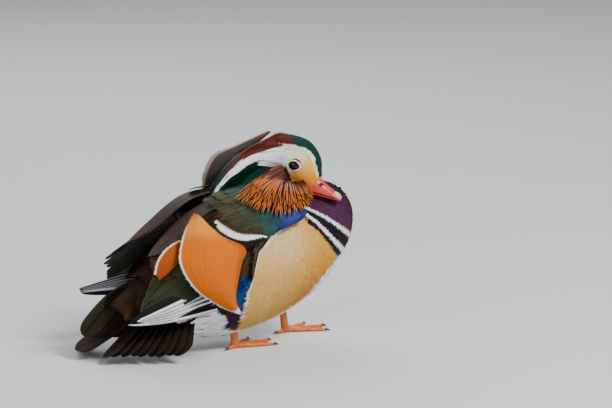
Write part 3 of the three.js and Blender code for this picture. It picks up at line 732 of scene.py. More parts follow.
QUICK_VOXEL, FULL_VOXEL, SMOOTHING = 2.6, 1.5, 6
HEAD_CHART = np.array([36.0, -5, 66])        # the head's unwrap is measured round this point
TORSO_AREA, HEAD_AREA = (0.02, 0.60), (0.69, 0.28)
skin_points, skin_quads, skin_normals = shaped(
    [torso_tube(), neck_tube(), head_tube(SKULL), head_tube(CROWN)],
    FULL_VOXEL, SMOOTHING,
)


def skin_angle(points, on_head):
    """How far round the torso, or round the head, skin points are, in turns."""
    x, y, z = points.T
    middle, _, _ = torso_section(np.clip(x, -RUMP_REACH, BREAST_REACH))
    away = points - HEAD_CHART
    return np.where(on_head, np.arctan2(away[:, 1], away[:, 0]), np.arctan2(y, z - middle)) / (2 * np.pi)


def flat_place(points, on_head, angle):
    """Place of skin points on the unwrap: the torso in one area, neck and head in another."""
    away = points - HEAD_CHART
    reach = np.maximum(np.linalg.norm(away, axis=1), 1e-6)
    polar = np.arccos(np.clip(away[:, 2] / reach, -1, 1)) / np.pi
    along = np.where(on_head, polar, np.clip((points[:, 0] + 175) / 280, 0, 1))
    left, width = (np.where(on_head, *pair) for pair in zip(HEAD_AREA, TORSO_AREA))
    return xyz(left + width * (angle + 0.5), 0.02 + 0.95 * along)


def skin_unwrap(points):
    on_head = head_share(points) > 0.5
    return flat_place(points, on_head, skin_angle(points, on_head))


def skin_corners():
    """Unwrap of every corner of the skin's faces, each face kept on its own side of a seam."""
    corners = skin_points[skin_quads]
    centre = corners.mean(1)
    on_head = head_share(centre) > 0.5
    near = np.repeat(skin_angle(centre, on_head), 4)
    on_head = np.repeat(on_head, 4)
    corners = corners.reshape(-1, 3)
    angle = near + (skin_angle(corners, on_head) - near + 0.5) % 1 - 0.5
    return flat_place(corners, on_head, np.clip(angle, -0.53, 0.53))


def add_skin():
    corners = skin_corners()
    # The skin takes the coat's markings at 0.82 of their brightness: painted shade in the gaps between
    # feathers.
    add_mesh("skin", skin_points, skin_quads, SOFT, "torso_plumage", skin_tone(skin_points) * 0.82,
             corners * 8, corners)


def scatter(count):
    """Random points on the skin with their normals."""
    corners = skin_points[skin_quads]
    area = np.linalg.norm(np.cross(corners[:, 2] - corners[:, 0], corners[:, 3] - corners[:, 1]), axis=1)
    chosen = dice.choice(len(area), count, p=area / area.sum())
    u, v = dice.random((2, count, 1))
    weights = np.stack([(1 - u) * (1 - v), u * (1 - v), u * v, (1 - u) * v], 1)
    return (corners[chosen] * weights).sum(1), unit((skin_normals[skin_quads][chosen] * weights).sum(1))


def thinned(points, spacing):
    """Which points to keep so that about one is left in each cube of the spacing."""
    cells = np.floor(points / spacing).astype(np.int64)
    return np.unique(cells, axis=0, return_index=True)[1]


ROOTS_TRIED = 700000     # points on the skin that the coats pick their roots from


def add_body_coat():
    points, normals = scatter(ROOTS_TRIED)
    x, y, z = points.T
    a, s, b = to_head(points).T
    on_head = head_share(points) > 0.5
    near_face = on_head & (a > -14) & (b > -30)
    off_eye = np.hypot(a, b * 1.15) > 6.8
    on_bill = (a > 12) & (np.abs(s) < bill_half(a) - 0.2) & (b < bill_top(a) - 0.2) & (b > -25)
    lifted = wing_lift(x, y, z) > 4.5
    above_flank = z > flank_edge(x)
    breast = ~on_head & (x > 24) & above_flank & ~lifted
    belly = ~on_head & ~breast & (z < height_of(BELLY_TOP, x) + 1)
    flank = ~on_head & ~breast & ~belly & (x > -38.5) & ~above_flank
    back = ~on_head & ~breast & ~belly & ~flank & ~lifted
    # Name, surface, slot and place of each coat, then spacing, length, width, change of tone, rise and droop
    for name, material, slot, where, spacing, length, width, vary, rise, droop in (
        ("face", FACE, "face", near_face & off_eye & ~on_bill, 0.85, 3.0, 1.15, 0.05, 0.10, 0.05),
        ("head", GLOSSY, "crest", on_head & ~near_face & (b > -30), 1.3, 6.0, 1.7, 0.12, 0.09, 0.05),
        ("neck", HACKLE_COAT, "neck", on_head & (b <= -30), 1.6, 8.5, 2.2, 0.12, 0.08, 0.05),
        ("breast", SOFT, "torso", breast, 1.6, 7.0, 2.6, 0.07, 0.04, 0.03),
        ("belly", SOFT, "torso", belly, 2.2, 9.0, 3.4, 0.06, 0.07, 0.05),
        ("flank", FLANK, "torso", flank, 1.55, 10.0, 2.6, 0.025, 0.030, 0.022),
        ("back", VANE, "torso", back, 2.4, 11.0, 5.0, 0.12, 0.06, 0.04),
    ):
        stray, camber = (0.015, 0.05) if name == "flank" else (0.04, 0.25)
        coat = Coat(f"coat_{name}", material, f"{slot}_plumage")
        index = np.flatnonzero(where)
        index = index[thinned(points[index], spacing)]
        p, n = points[index], normals[index]
        lie = lie_at(p, n) + dice.normal(0, stray, p.shape)
        tone = dice.uniform(1 - vary, 1 + vary, (len(p), 1))
        size = dice.uniform(0.85, 1.15, len(p))
        coat.add(p - 0.3 * n, lie, n, length * size, width * size, tone, rise, droop, camber, paint=skin_tone)
        coat.build()


# Large feathers: shoulder, tip and root of their contours
ROUND_VANE, TAIL_VANE, LONG_VANE = (0.68, 0.10, 0.6), (0.80, 0.18, 0.5), (0.45, 0.06, 0.7)


def tier_lines(first, last, count, side=1, rise=0.0, wobble=1.5):
    """Root, middle and tip of feathers stepped evenly between the first and the last."""
    first, last = np.array(first, float), np.array(last, float)
    lines = []
    for t in np.linspace(0, 1, count):
        line = first + (last - first) * t + [0, 0, rise]
        line[2] += dice.uniform(-wobble, wobble, 3) * (1, 0.3, 0.5)
        lines.append(line * (1, side, 1))
    return lines, unit((first[2] - last[2]) * (1, side, 1))


def between(first, last, t):
    return np.array(first) * (1 - t) + np.array(last) * t


def add_wing(side, name, rise):
    slot = "wing_plumage"

    def there(*places):
        return [seen(x, y, side * off) * (1, side, 1) for x, y, off in places]

    primaries = Vanes(f"primaries_{name}", VANE, slot, rows=26, columns=15)
    if side > 0:
        first = there((163, 269, 26), (125, 275, 23), (83, 287, 15))
        last = there((166, 286, 22), (130, 288, 21), (86, 291, 15))
    else:
        first = there((207, 285, 48), (172, 301, 49), (136, 318.5, 37))
        last = there((219, 305, 47), (178, 314, 48), (133, 321, 37))
    lines, _ = tier_lines(first, last, 6, side, wobble=0.4)
    across = unit((first[1] - last[1]) * (1, side, 1))
    # The far wing's primaries take bluer, dimmer edges than the near wing's white: their silvery edges in
    # painted shade.
    edge, edge_from = (SILVER_IN_SHADE, 0.15) if side > 0 else (WHITE, 0.34)
    primaries.lay(lines, across, 10, LONG_VANE,
                  dict(base=WEB_BLACK, edge=edge, edge_from=edge_from, outer=-1, edge_to=0.86))
    primaries.build()

    secondaries = Vanes(f"secondaries_{name}", GLOSSY, slot)
    first = [[-58, 42, 26], [-98, 47, 10], [-134, 36, -1]]
    last = [[-54, 47, -2], [-96, 50, -17], [-130, 38, -27]]
    if side < 0:
        first = there((222, 232, 42), (186, 256, 47), (154, 294, 36))
        last = there((228, 267, 47), (188, 290, 49), (144, 313, 36))
    secondaries.lay(*tier_lines(first, last, 8, side, rise, wobble=2.5), 19, ROUND_VANE,
                    dict(base=OLIVE_BLACK, edge=OLIVE_EDGE, edge_from=0.9, outer=-side, gloss=OLIVE))
    secondaries.build()

    tertials = Vanes(f"tertials_{name}", GLOSSY, slot)
    first = [[-20, 12, 54], [-66, 14, 51], [-118, 16, 16]]
    last = [[-34, 43, 29], [-76, 49, 20], [-128, 40, 1]]
    tertials.lay(*tier_lines(first, last, 10, side, rise), 23, ROUND_VANE,
                 dict(base=DARK_BROWN, edge=BROWN, edge_from=0.8, outer=-side, gloss=BROWN), margin=6.2)
    tertials.build()

    coverts = Coat(f"coverts_{name}", VANE, slot, rows=6, columns=5)
    for row, (height, reach, length) in enumerate([(0.0, 0, 26), (0.3, 8, 24), (0.6, 15, 22), (0.85, 22, 20)]):
        roots = between([-2, 10, 62.0], [-30, 44, 46.0], np.linspace(0, 0.6, 6)[:, None])
        roots = roots + [-26 + reach * 1.6 + 4 * height, 0, 0]
        roots = rest_on(roots * (1, side, 1) + [0, 0, rise], 7.5 + 0.5 * row)
        tone = BROWN * dice.uniform(0.8, 1.25, (len(roots), 1))
        coverts.add(roots, [-1, 0, -0.34] + dice.normal(0, 0.04, roots.shape), outward(roots), length, 13,
                    tone, rise=0.05, droop=0.24, camber=0.2, shoulder=0.62, edge_tone=TAN * 0.6)
    coverts.build()

    scapulars = Coat(f"scapulars_{name}", GLOSSY, slot, rows=8, columns=5)
    for row, share in enumerate(np.arange(8) / 7):
        t = np.linspace(0, 1, 12)[:, None]
        front = between([26.0, 14, 52], [21, 45, 43], t)
        rear = between([-38.0, 14, 60], [-26, 54, 35], t)
        roots = rear + (front - rear) * share
        roots = roots + dice.normal(0, 0.8, roots.shape)
        roots = rest_on(roots * (1, side, 1) + [0, 0, 0.6 * rise * (1 - share)], 8.4 + 0.4 * row)
        x, t = roots[:, 0], t[:, 0]
        tone = painted(BROWN * 1.2, (OLIVE, step(x, -34, 14)), (TEAL, step(x, -18, 20)),
                       (VIOLET, step(x + 16 * t, 14, 22))) * dice.uniform(0.7, 1.3, (12, 1))
        scapulars.add(roots, xyz(-1, 0, 0.12 - 0.42 * t - 0.1 * share), outward(roots), 24 - 5 * share, 11.5,
                      tone, rise=0.04, droop=0.24, camber=0.22, shoulder=0.6, edge_tone=tone * 0.5)
    scapulars.build()

    crescent = Coat(f"crescent_{name}", SOFT, slot, rows=13, columns=5)
    arc = smooth_line([(-61, 20, 45), (-62, 32, 37), (-59, 40, 31.5), (-52.5, 47, 27), (-44, 52, 25),
                       (-36, 54, 25.0), (-28, 56, 26.5)], 22)[1 if side < 0 else 7:]
    tips, inner = (place * (1, side, 1) + [0, 0, 0.6 * rise] for place in (arc, np.array([-28.0, 34, 50])))
    away = unit(unit(tips - inner) + [-0.35, 0, 0])
    reach = 16.5 * np.interp(np.linspace(0, 1, len(tips)), [0, 0.3, 0.75, 1], [0.25, 1, 1, 0.25])[:, None]
    roots = rest_on(tips - away * (1.5 + 0.47 * reach), 12.4)
    ends = rest_on(tips + away * (0.53 * reach - 1.5), 11.6)
    crescent.add(roots, ends - roots, outward(roots), np.linalg.norm(ends - roots, axis=1), 7.0,
                 1.0, rise=0.05, droop=0.05, camber=0.15, shoulder=0.7)
    t = np.linspace(0, 1, 13)[:, None]
    band = painted(BROWN, (WHITE, step(t, 0.33, 0.08)), (BLACK, step(t, 0.62, 0.06)))
    crescent.tones[0] = np.broadcast_to(band, crescent.points[0].shape)
    crescent.build()


HACKLE_TIPS = {
    -1: smooth_line([(-36, -24, 57), (-30, -40, 48), (-6, -50, 43), (22, -46, 45), (43, -33, 57)], 60),
    1: smooth_line([(16, 30, 58), (38, 34, 49), (58, 24, 45), (67, 2, 46), (62, -18, 53)], 60),
}


def skull_side(a, b):
    """Half width of the skull at a place in the head's side view."""
    at, *stations = smooth_line(SKULL, 60).T
    top, bottom, half = (np.interp(a, at, values) for values in stations)
    share = (b - (top + bottom) / 2) / ((top - bottom) / 2)
    return half * np.sqrt(np.maximum(0.04, 1 - share ** 2))


def bent(start, middle, end, rows):
    """Points along arcs from their starts to their ends, pulled towards the middles."""
    u = np.linspace(0, 1, rows)[None, :, None]
    return start[:, None] * (1 - u) ** 2 + 2 * middle[:, None] * u * (1 - u) + end[:, None] * u ** 2


def add_hackles(side, name):
    rows, columns, layers, in_layer = 12, 9, 5, 60
    count = layers * in_layer
    t = np.clip(np.tile((np.arange(in_layer) + 0.5) / in_layer, layers) + dice.normal(0, 0.002, count), 0, 1)
    depth = np.repeat(np.linspace(0, 1, layers), in_layer)
    a = -10 + 14 * t - 4 * depth
    b = -2 - 22 * t - 2.0 * depth
    root = from_head(xyz(a, side * (skull_side(a, b) + 0.4), b))
    fan = t * (0.92 if side < 0 else 0.72)
    tip = HACKLE_TIPS[side][(fan * 59).astype(int)] + dice.normal(0, 0.8, (count, 3))
    start = root + (tip - root) * (0.40 * depth * dice.uniform(0.6, 1, count))[:, None]
    end = root + (tip - root) * (0.72 + 0.28 * depth + dice.normal(0, 0.03, count))[:, None]
    aside = from_head([0, side, 0.2]) - HEAD_PLACE
    out, arch = (4.5, 9.0) if side < 0 else (1.5, 2.0)
    middle = (start + end) / 2 + aside * out + HEAD_UP * arch * ((1 - t) * (1 - 0.5 * depth))[:, None]
    u = np.linspace(0, 1, rows)
    margin = (13.0 + 4.5 * (1 - depth))[:, None] * np.minimum(1, 0.25 + 2.2 * u)
    line = rest_on(bent(start, middle, end, rows), margin)
    face = aside * (1 - u[:, None]) + outward(line) * u[:, None]
    face = unit(face + dice.normal(0, 0.12, (count, 1, 3)))
    half = dice.uniform(2.2, 3.0, count)[:, None] / 2 * contour(u, 0.35, 0.05, 0.55)
    points = strips(line, face, half, columns, 0.35)
    along, rim = u[:, None], np.abs(np.linspace(-1, 1, columns))
    shaft = np.exp(-(rim / 0.20) ** 2)
    pale = shaft * (1 - step(along, 0.66, 0.4))
    fade = dice.uniform(0.8, 1.2, (count, 1, 1, 1))
    tone = painted(
        HACKLE_ROOT * fade,
        (HACKLE, step(along, 0.45, 0.5)),
        (HACKLE_TIP, step(along, 0.80, 0.4) * 0.5),
        (HACKLE_GOLD, shaft * step(along, 0.50, 0.4) * 0.9),
        # Pale shafts, faint on every hackle and bright in a band part way down the ruff: the shafts' own
        # paleness plus a painted highlight.
        (HACKLE_SHAFT_AND_HIGHLIGHT, pale * (0.15 + 0.85 * np.exp(-((t - 0.60) / 0.18) ** 2))[:, None, None]),
        # Dark rims along each hackle: painted shade in the gaps between the locks.
        (HACKLE_GAP_SHADE, step(rim, 0.45, 0.3) * 0.97),
    )
    # A few hackles painted near black: more painted shade between the locks.
    dark = dice.random(count) < 0.08
    tone[dark] = tone[dark] * 0.10 + HACKLE_GAP_SHADE * 0.8
    add_feathers(f"hackles_{name}", HACKLE_COAT, "hackles", points, tone, root)


CREST_LINE = np.array([(-1.4, 8, 86), (-22, 5, 78), (-38, 2, 67), (-47.5, 0, 54)], float)


def add_crest():
    count, rows, columns = 600, 18, 4
    depths = dice.random(count)
    around = dice.uniform(-1, 1, count)
    lines = np.empty((count, rows, 3))
    first_tone, last_tone = np.empty((2, count, 3))
    for i, depth in enumerate(depths):
        angle = around[i] * math.radians(150)
        high, wide = math.cos(angle), math.sin(angle)
        away = math.copysign(1, wide)
        white = -0.22 < high < 0.60
        a = -9 - 17 * depth
        if high > 0.60:
            root = from_head([a, wide * 13, 8 + 14.2 * high - 3 * depth * abs(wide)])
        else:
            b = np.interp(high, [-0.87, -0.22, 0.1, 0.6], [-20, -6, 4, 14.5])
            a = min(a, -14 - 8 * depth) if high < -0.22 else a
            root = from_head([a, away * (skull_side(a, b) + 0.3), b])
        spread = np.array([0, wide * 10, 1 + 9.5 * high])
        if white:
            middle_of_band = np.array([0, away * 9.8, 3.0])
            spread = middle_of_band + (spread - middle_of_band) * np.array([[1], [0.6], [0.25], [0.05]])
        points = CREST_LINE + spread * np.linspace(1, 0.30, 4)[:, None]
        points += np.array([12, away * 12, -9]) * max(0.0, -high - 0.2) * np.linspace(0.5, 1, 4)[:, None]
        points = rest_on(points + dice.normal(0, 0.5, points.shape), 8.0)
        share = dice.uniform(0.80, 1.0) if depth > 0.4 else dice.uniform(0.45, 0.8)
        lines[i] = smooth_line([root, *points], 60)[np.linspace(0, 59 * share, rows).astype(int)]
        first_tone[i] = COPPER if high >= 0.60 else (WHITE if white else GREEN)
        last_tone[i] = WHITE if white and dice.random() < 0.75 else GREEN
    spine = smooth_line([from_head([-20, 0, 6]), *(CREST_LINE + [0, 0, 1])], rows)
    u = np.linspace(0, 1, rows)
    half = dice.uniform(2.2, 3.4, count)[:, None] / 2 * contour(u, 0.3, 0.05, 0.2)
    points = strips(lines, unit(lines - spine), half, columns)
    fade = dice.uniform(0.75, 1.25, (count, 1, 1, 1))
    first_tone, last_tone = first_tone[:, None, None] * fade, last_tone[:, None, None]
    tone = painted(first_tone, (last_tone, step(u, 0.60, 0.35)[:, None]))
    tone = np.broadcast_to(np.clip(tone, 0, 0.85), points.shape)
    add_feathers("crest_plumes", GLOSSY, "crest_plumage", points, tone, lines[:, 0])


def add_mane():
    """Dark locks of the nape, that hang from under the crest over the middle of the back."""
    count, rows, columns = 340, 14, 4
    v = dice.random(count)[:, None]
    side = np.where(dice.random(count) < 0.6, -1.0, 1.0)
    a, b = -19 - 11 * dice.random(count), -3 - 17 * dice.random(count)
    spread = dice.random(count)
    roots = from_head(xyz(a, side * skull_side(a, b) * (0.5 + 0.5 * spread) + 0.2 * side, b))
    near = between([-47.0, -1, 55], [-35.0, -25, 58], v)
    far = between([-47.0, 2, 55], [-16.0, 28, 60], v)
    ends = np.where(side[:, None] < 0, near, far) + dice.normal(0, 1.0, (count, 3))
    ends = roots + (ends - roots) * dice.uniform(0.45, 1.0, (count, 1))
    line = rest_on(bent(roots, (roots + ends) / 2 + HEAD_UP * 3.5, ends, rows), 9.0)
    half = dice.uniform(1.2, 1.9, count)[:, None] * contour(np.linspace(0, 1, rows), 0.3, 0.08, 0.3)
    points = strips(line, unit(outward(line) + [0, 0, 0.3]), half, columns)
    tone = BOTTLE_GREEN * dice.uniform(0.4, 1.1, (count, 1, 1, 1)) * np.ones(points.shape)
    add_feathers("nape_plumes", GLOSSY, "crest_plumage", points, tone, roots)


def add_sail(name, slot, rear, front, face, bulge, paint):
    """A broad feather between two edges, of some thickness, with a fringe along both."""
    rows, columns, thickness = 70, 40, 0.9
    face = unit(face)
    cell = patch(rows, columns)
    k, t = cell[..., 0], cell[..., 1]
    swell = bulge * 4 * k * (1 - k) * np.sin(np.pi * (0.2 + 0.7 * t))
    sheet = smooth_line(rear, rows)[:, None] * (1 - k)[..., None]
    sheet = sheet + smooth_line(front, rows)[:, None] * k[..., None] + swell[..., None] * face
    ripple = 0.16 * np.sin(k * 60 + 12 * t) * np.clip(4 * k * (1 - k) * 3, 0, 1)
    tone = paint(t, k)
    count = rows * columns
    quads = grid_quads(rows, columns)
    rim = np.concatenate([np.arange(columns), np.arange(2, rows + 1) * columns - 1,
                          count - 2 - np.arange(columns - 1), np.arange(rows - 2, 0, -1) * columns])
    ring = np.stack([rim, np.roll(rim, -1), np.roll(rim, -1) + count, rim + count], 1)
    halves = cell * (0.48, 0.96) + 0.02
    # The back face of each vane takes the tone at 0.8: painted shade.
    add_mesh(f"{name}_vane",
             [sheet + (thickness / 2 + ripple[..., None]) * face, sheet - thickness / 2 * face],
             np.concatenate([quads, quads[:, ::-1] + count, ring]), SAIL, slot,
             [tone, tone * 0.8], [cell, cell], [halves, halves + (0.5, 0)])
    fringe = Coat(f"{name}_vane_fringe", SAIL, slot)
    for edge, inner in ((0, 5), (columns - 1, columns - 6)):
        at = np.arange(2, rows - 2)
        roots = sheet[at, inner] * 0.1 + sheet[at, edge] * 0.9
        lie = unit(sheet[at, edge] - sheet[at, inner]) + 0.9 * unit(np.gradient(sheet[:, edge], axis=0)[at])
        lie = np.concatenate([lie, lie])
        lie = lie + dice.normal(0, 0.12, lie.shape)
        fringe.add(np.concatenate([roots, roots + 0.4 * face]), lie, np.broadcast_to(face, lie.shape),
                   dice.uniform(1.4, 2.6, len(lie)), 0.9, np.concatenate([tone[at, edge]] * 2),
                   rise=0.03, droop=0.02, camber=0.1)
    fringe.build()


def right_sail_tone(t, k):
    return painted(
        SAIL_ORANGE,
        (SAIL_TOP, step(0.18 - t, 0, 0.16)),
        (SAIL_SHADE, 0.30 * (0.5 + 0.5 * np.sin(k * 95 + 20 * t))),
        (SAIL_SHADE, step(k, 0.88, 0.10) * step(t, 0.2, 0.2) * 0.8),
        (WHITE, step(0.018 - k, 0, 0.012) * step(t, 0.15, 0.2)),
        (BLACK, step(k, 0.985, 0.01) * step(t, 0.3, 0.1)),
        (WHITE, step(t, 0.93, 0.04)),
    )


def small_sail_tone(t, k):
    return painted(SAIL_SHADE, (SAIL_SHADE_DARK, 0.4 * (0.5 + 0.5 * np.sin(k * 50))),
                   (CREAM, step(0.030 - k, 0, 0.02)))


def left_sail_tone(t, k):
    # The far sail's inner face is its orange vane in painted shade: dark grey-brown with darker stripes, a dim
    # pale rim along the rear edge and chestnut at the top tip.
    return painted(SAIL_INSIDE_IN_SHADE, (SAIL_INSIDE_IN_SHADE * 0.55, 0.5 * (0.5 + 0.5 * np.sin(k * 90 + 9 * t))),
                   (CHESTNUT, step(t, 0.90, 0.12)), (SAIL_EDGE_IN_SHADE, step(0.05 - k, 0, 0.05)))


LAST_ROOT = -122         # coverts behind this station keep its section


def add_tail():
    slot = "tail_plumage"
    tail = Vanes("tail_feathers", VANE, slot)
    look = dict(base=DARK_BROWN, edge=TAIL_EDGE, edge_from=0.88, outer=1, gloss=TAIL_GLOSS)
    for first, last, facing in (
        ([[-108, 3, -34], [-142, 8, -50], [-176, 14, -68]],
         [[-106, 9, -37], [-132, 30, -55], [-155, 51, -75.5]], (-0.5, 0, 0.87)),
        (all_seen((138, 281, 8), (111, 304, 10), (86, 333, 12)),
         all_seen((156, 283, 2), (146, 306, 4), (130, 335, 6)), (-0.5, -0.45, 0.74)),
        ([[-108, -3, -34], [-138, -12, -52], [-166, -20, -70]],
         [[-82, -18, -35], [-96, -36, -52], [-108, -54, -68]], (-0.5, 0, 0.87)),
    ):
        tail.lay(*tier_lines(first, last, 9, wobble=1.4), 23, TAIL_VANE, look, lean=0.2, facing=facing)
    tail.build()

    def roots_at(x, t, spread, grow, up):
        """A row of roots round the rump, over it or under it."""
        middle, half, width = torso_section(max(x, LAST_ROOT), grow)
        angle = t * math.radians(spread)
        return xyz(x, width * np.sin(angle), middle + up * half * np.cos(angle))

    covers = Coat("tail_coverts", VANE, slot, rows=6, columns=5)
    t = np.linspace(-1, 1, 11)
    for row in range(5):
        roots = roots_at(-76.0 - 13 * row, t, 72, 1.5, 1)
        tone = BROWN * 0.8 * dice.uniform(0.8, 1.2, (len(t), 1))
        covers.add(roots, xyz(-1, 0.28 * t, -0.52 - 0.06 * row), outward(roots), 26, 12, tone,
                   rise=0.06, droop=0.05, shoulder=0.6, edge_tone=BROWN)
    covers.build()
    under = Coat("tail_under_coverts", SOFT, slot, rows=5, columns=3)
    t = np.linspace(-1, 1, 15)
    for row in range(4):
        roots = roots_at(-70.0 - 13 * row, t, 78, 0.5, -1)
        lie = xyz(-1, 0.15 * t, -0.05) + dice.normal(0, 0.05, roots.shape)
        under.add(roots, lie, outward(roots), 22, 8, WHITE if row < 2 else BROWN, rise=0.04, droop=0.06)
    under.build()


# Bill, eyes, legs and feet
def bill_rings(upper):
    t = np.linspace(0, 1, 48)[:, None]
    x = BILL_BASE + BILL_LENGTH * t
    y, z = circle(40)
    y = np.sign(y) * np.abs(y) ** 0.72
    end = np.sqrt(np.maximum(0, 1 - np.maximum(0, (t - 0.74) / 0.262) ** 2))
    half = bill_half(x) * np.maximum(end, 0.12)
    mouth = -20.2 - 2.6 * t
    if upper:
        z = np.where(z < 0, -0.02, z) * 2 - 1
        bottom = mouth - 1.9 * np.maximum(0, (t - 0.86) / 0.14) ** 1.5 + 0.2
        culmen = bill_top(x) + 0.5 * np.exp(-(((t - 0.93) / 0.06) ** 2))
        top = bottom + (culmen - bottom) * np.maximum(end, 0.25)
    else:
        z = np.sign(z) * np.abs(z) ** 0.72
        half = half * 0.82
        top, bottom = mouth - 0.2, -25.2 + 0.6 * t
    y = y * (1 + 0.42 * (1 - t) ** 3 * (1 - z) / 2)
    return from_head(xyz(x, y * half, (top + bottom) / 2 + z * (top - bottom) / 2))


EYE_SIDE, EYE_RADIUS, LID_SIDE, LID_RADIUS = 16.4, 6.0, 19.9, 0.85
NAIL_PIVOT, NAIL_TURN = (39.6, 0, -19.6), math.radians(28)


def ball(centre, radii, rows=24, columns=36):
    u = np.linspace(0.001, math.pi - 0.001, rows)[:, None]
    cos, sin = circle(columns)
    return tube(xyz(np.cos(u), np.sin(u) * cos, np.sin(u) * sin) * np.array(radii) + np.array(centre))


def add_face():
    def add(name, points, faces, material, slot="bill"):
        add_shell(name, (from_head(points), faces), material)

    for half in ("upper", "lower"):
        add_shell(f"bill_{half}_horn", tube(bill_rings(half == "upper")), BILL_HORN)
    nail, faces = ball((40.2, 0, -20.7), (4.6, 3.9, 2.5))
    x, y, z = (nail - NAIL_PIVOT).T
    cos, sin = math.cos(NAIL_TURN), math.sin(NAIL_TURN)
    add("bill_nail_horn", xyz(x * cos + z * sin, y, z * cos - x * sin) + NAIL_PIVOT, faces, NAIL_HORN)
    t = np.linspace(0, 1, 12)[:, None]
    cos, sin = circle(16)
    add("mouth", *tube(xyz(9 + 32.5 * t, (7.2 - 2.9 * t) * cos, -20.3 - 2.7 * t + 0.8 * sin)), MOUTH_DARK)
    for side, name in ((-1, "right"), (1, "left")):
        add(f"nostril_{name}", *ball((25.0, side * 6.2, -12.9), (2.1, 1.4, 0.8), 12, 20), MOUTH_DARK)
        add(f"eyeball_{name}", *ball((0, side * EYE_SIDE, 0), [EYE_RADIUS] * 3, 40, 60), EYE_GLASS, "eye")
        cos, sin = circle(48)
        centre = xyz(5.5 * cos + 0.5 * np.sign(cos) * np.abs(cos) ** 3, 0, 4.3 * sin)[:, None]
        cos, sin = circle(12)
        rings = centre + LID_RADIUS * (cos[:, None] * unit(centre) + sin[:, None] * np.array([0, 1.0, 0]))
        rings = rings.reshape(-1, 3) + [0, side * LID_SIDE, 0]
        add(f"eyelid_{name}", rings, grid_quads(49, 12, closed=True) % len(rings), LID_SKIN, "face_plumage")


def stood(x, y, z, place, heading):
    """Points on a foot's own axes, moved to its place on the floor and turned to its heading."""
    turn = math.radians(heading)
    return xyz(place[0] + x * math.cos(turn) - y * math.sin(turn),
               place[1] + x * math.sin(turn) + y * math.cos(turn), z - BODY_HEIGHT)


def toe(length, half_width, heading, place):
    t = np.linspace(0, 1, 30)[:, None]
    knuckle = np.cos(t * 6 * math.pi)
    half = half_width * (1 + 0.16 * knuckle) * (1 - 0.28 * t) * np.where(t > 0.94, 0.6, 1)
    height = (4.6 - 2.0 * t) * (1 + 0.10 * knuckle) * np.where(t > 0.94, 0.7, 1)
    cos, sin = circle(20)
    x = -2 + (length + 2) * t * 0.93
    return tube(stood(x, half * cos, height / 2 * (1 + sin) + 0.02, place, heading))


def claw(length, heading, place):
    t = np.linspace(0, 1, 12)[:, None]
    radius = 1.25 * (1 - t) ** 0.7 + 0.12
    height = 1.7 - 0.4 * t - 1.0 * t ** 2 + 0.15
    cos, sin = circle(12)
    z = np.maximum(height + radius * sin, 0.03)
    return tube(stood(length * 0.90 + 5.0 * t, radius * cos, z, place, heading))


# Length, turn from the foot's heading and half width of each toe; half the angle of the web
TOES = [(46, 0, 2.6), (40.5, -27, 2.5), (40.5, 27, 2.5), (12, 190, 1.8)]
WEB_ANGLE = math.radians(27)


def add_leg(name, place, heading, lean):
    parts = [toe(length, half, heading + turn, place) for length, turn, half in TOES]
    parts.append(ball((*place, 4.2 - BODY_HEIGHT), (4.2, 3.9, 4.0)))
    t = np.linspace(0, 1, 30)[:, None]
    cos, sin = circle(24)
    radius = 2.9 * (1 + 0.25 * (2 * t - 1) ** 2)
    x = lean * 46 * t + radius * 1.15 * cos
    parts.append(tube(stood(x, radius * sin, 3 + 44 * t, place, heading)))
    points, quads, _ = shaped([(points / 1000, faces) for points, faces in parts], 0.55 / 1000, 3)
    add_mesh(f"leg_and_toes_{name}", points * 1000, quads, LEG_SKIN, "leg_skin")

    angles = np.linspace(-WEB_ANGLE, WEB_ANGLE, 41)
    share = np.linspace(0.08, 1, 12)[:, None]
    reach = 46 * (0.80 + 0.08 * np.cos(angles * 180 / 27) - 0.09 * np.sin(angles * math.pi / WEB_ANGLE) ** 2)
    sag = 0.5 * np.sin(np.pi * np.abs(angles) / WEB_ANGLE) * share
    bottom = stood(share * reach * np.cos(angles), share * reach * np.sin(angles), 1.3 - sag, place, heading)
    quads = grid_quads(*bottom.shape[:2])
    add_mesh(f"web_{name}", [bottom, bottom - [0, 0, 0.7]],
             np.concatenate([quads, quads[:, ::-1] + bottom.size // 3]), WEB_SKIN, "leg_skin")
    claws = joined([claw(length, heading + turn, place) for length, turn, _ in TOES])
    add_shell(f"claws_{name}", claws, CLAW)


def add_thigh(name, place, heading, lean):
    """Feathers that close round the top of the leg."""
    coat = Coat(f"thigh_{name}", SOFT, "torso_plumage")
    top = stood(lean * 30, 0, BODY_HEIGHT - 40.0, place, heading)
    for row in range(6):
        angles = np.linspace(0, 2 * np.pi, 26, endpoint=False) + row * 0.12
        out = xyz(np.cos(angles), np.sin(angles), 0)
        roots = top + (11.0 - 1.1 * row) * out + [0, 0, 3 - 2.4 * row]
        tone = WHITE * dice.uniform(0.8, 1.0, (len(out), 1))
        coat.add(roots, -0.55 * out + [-0.15, 0, -1.0], out, 9, 3.6, tone, rise=0.1)
    coat.build()


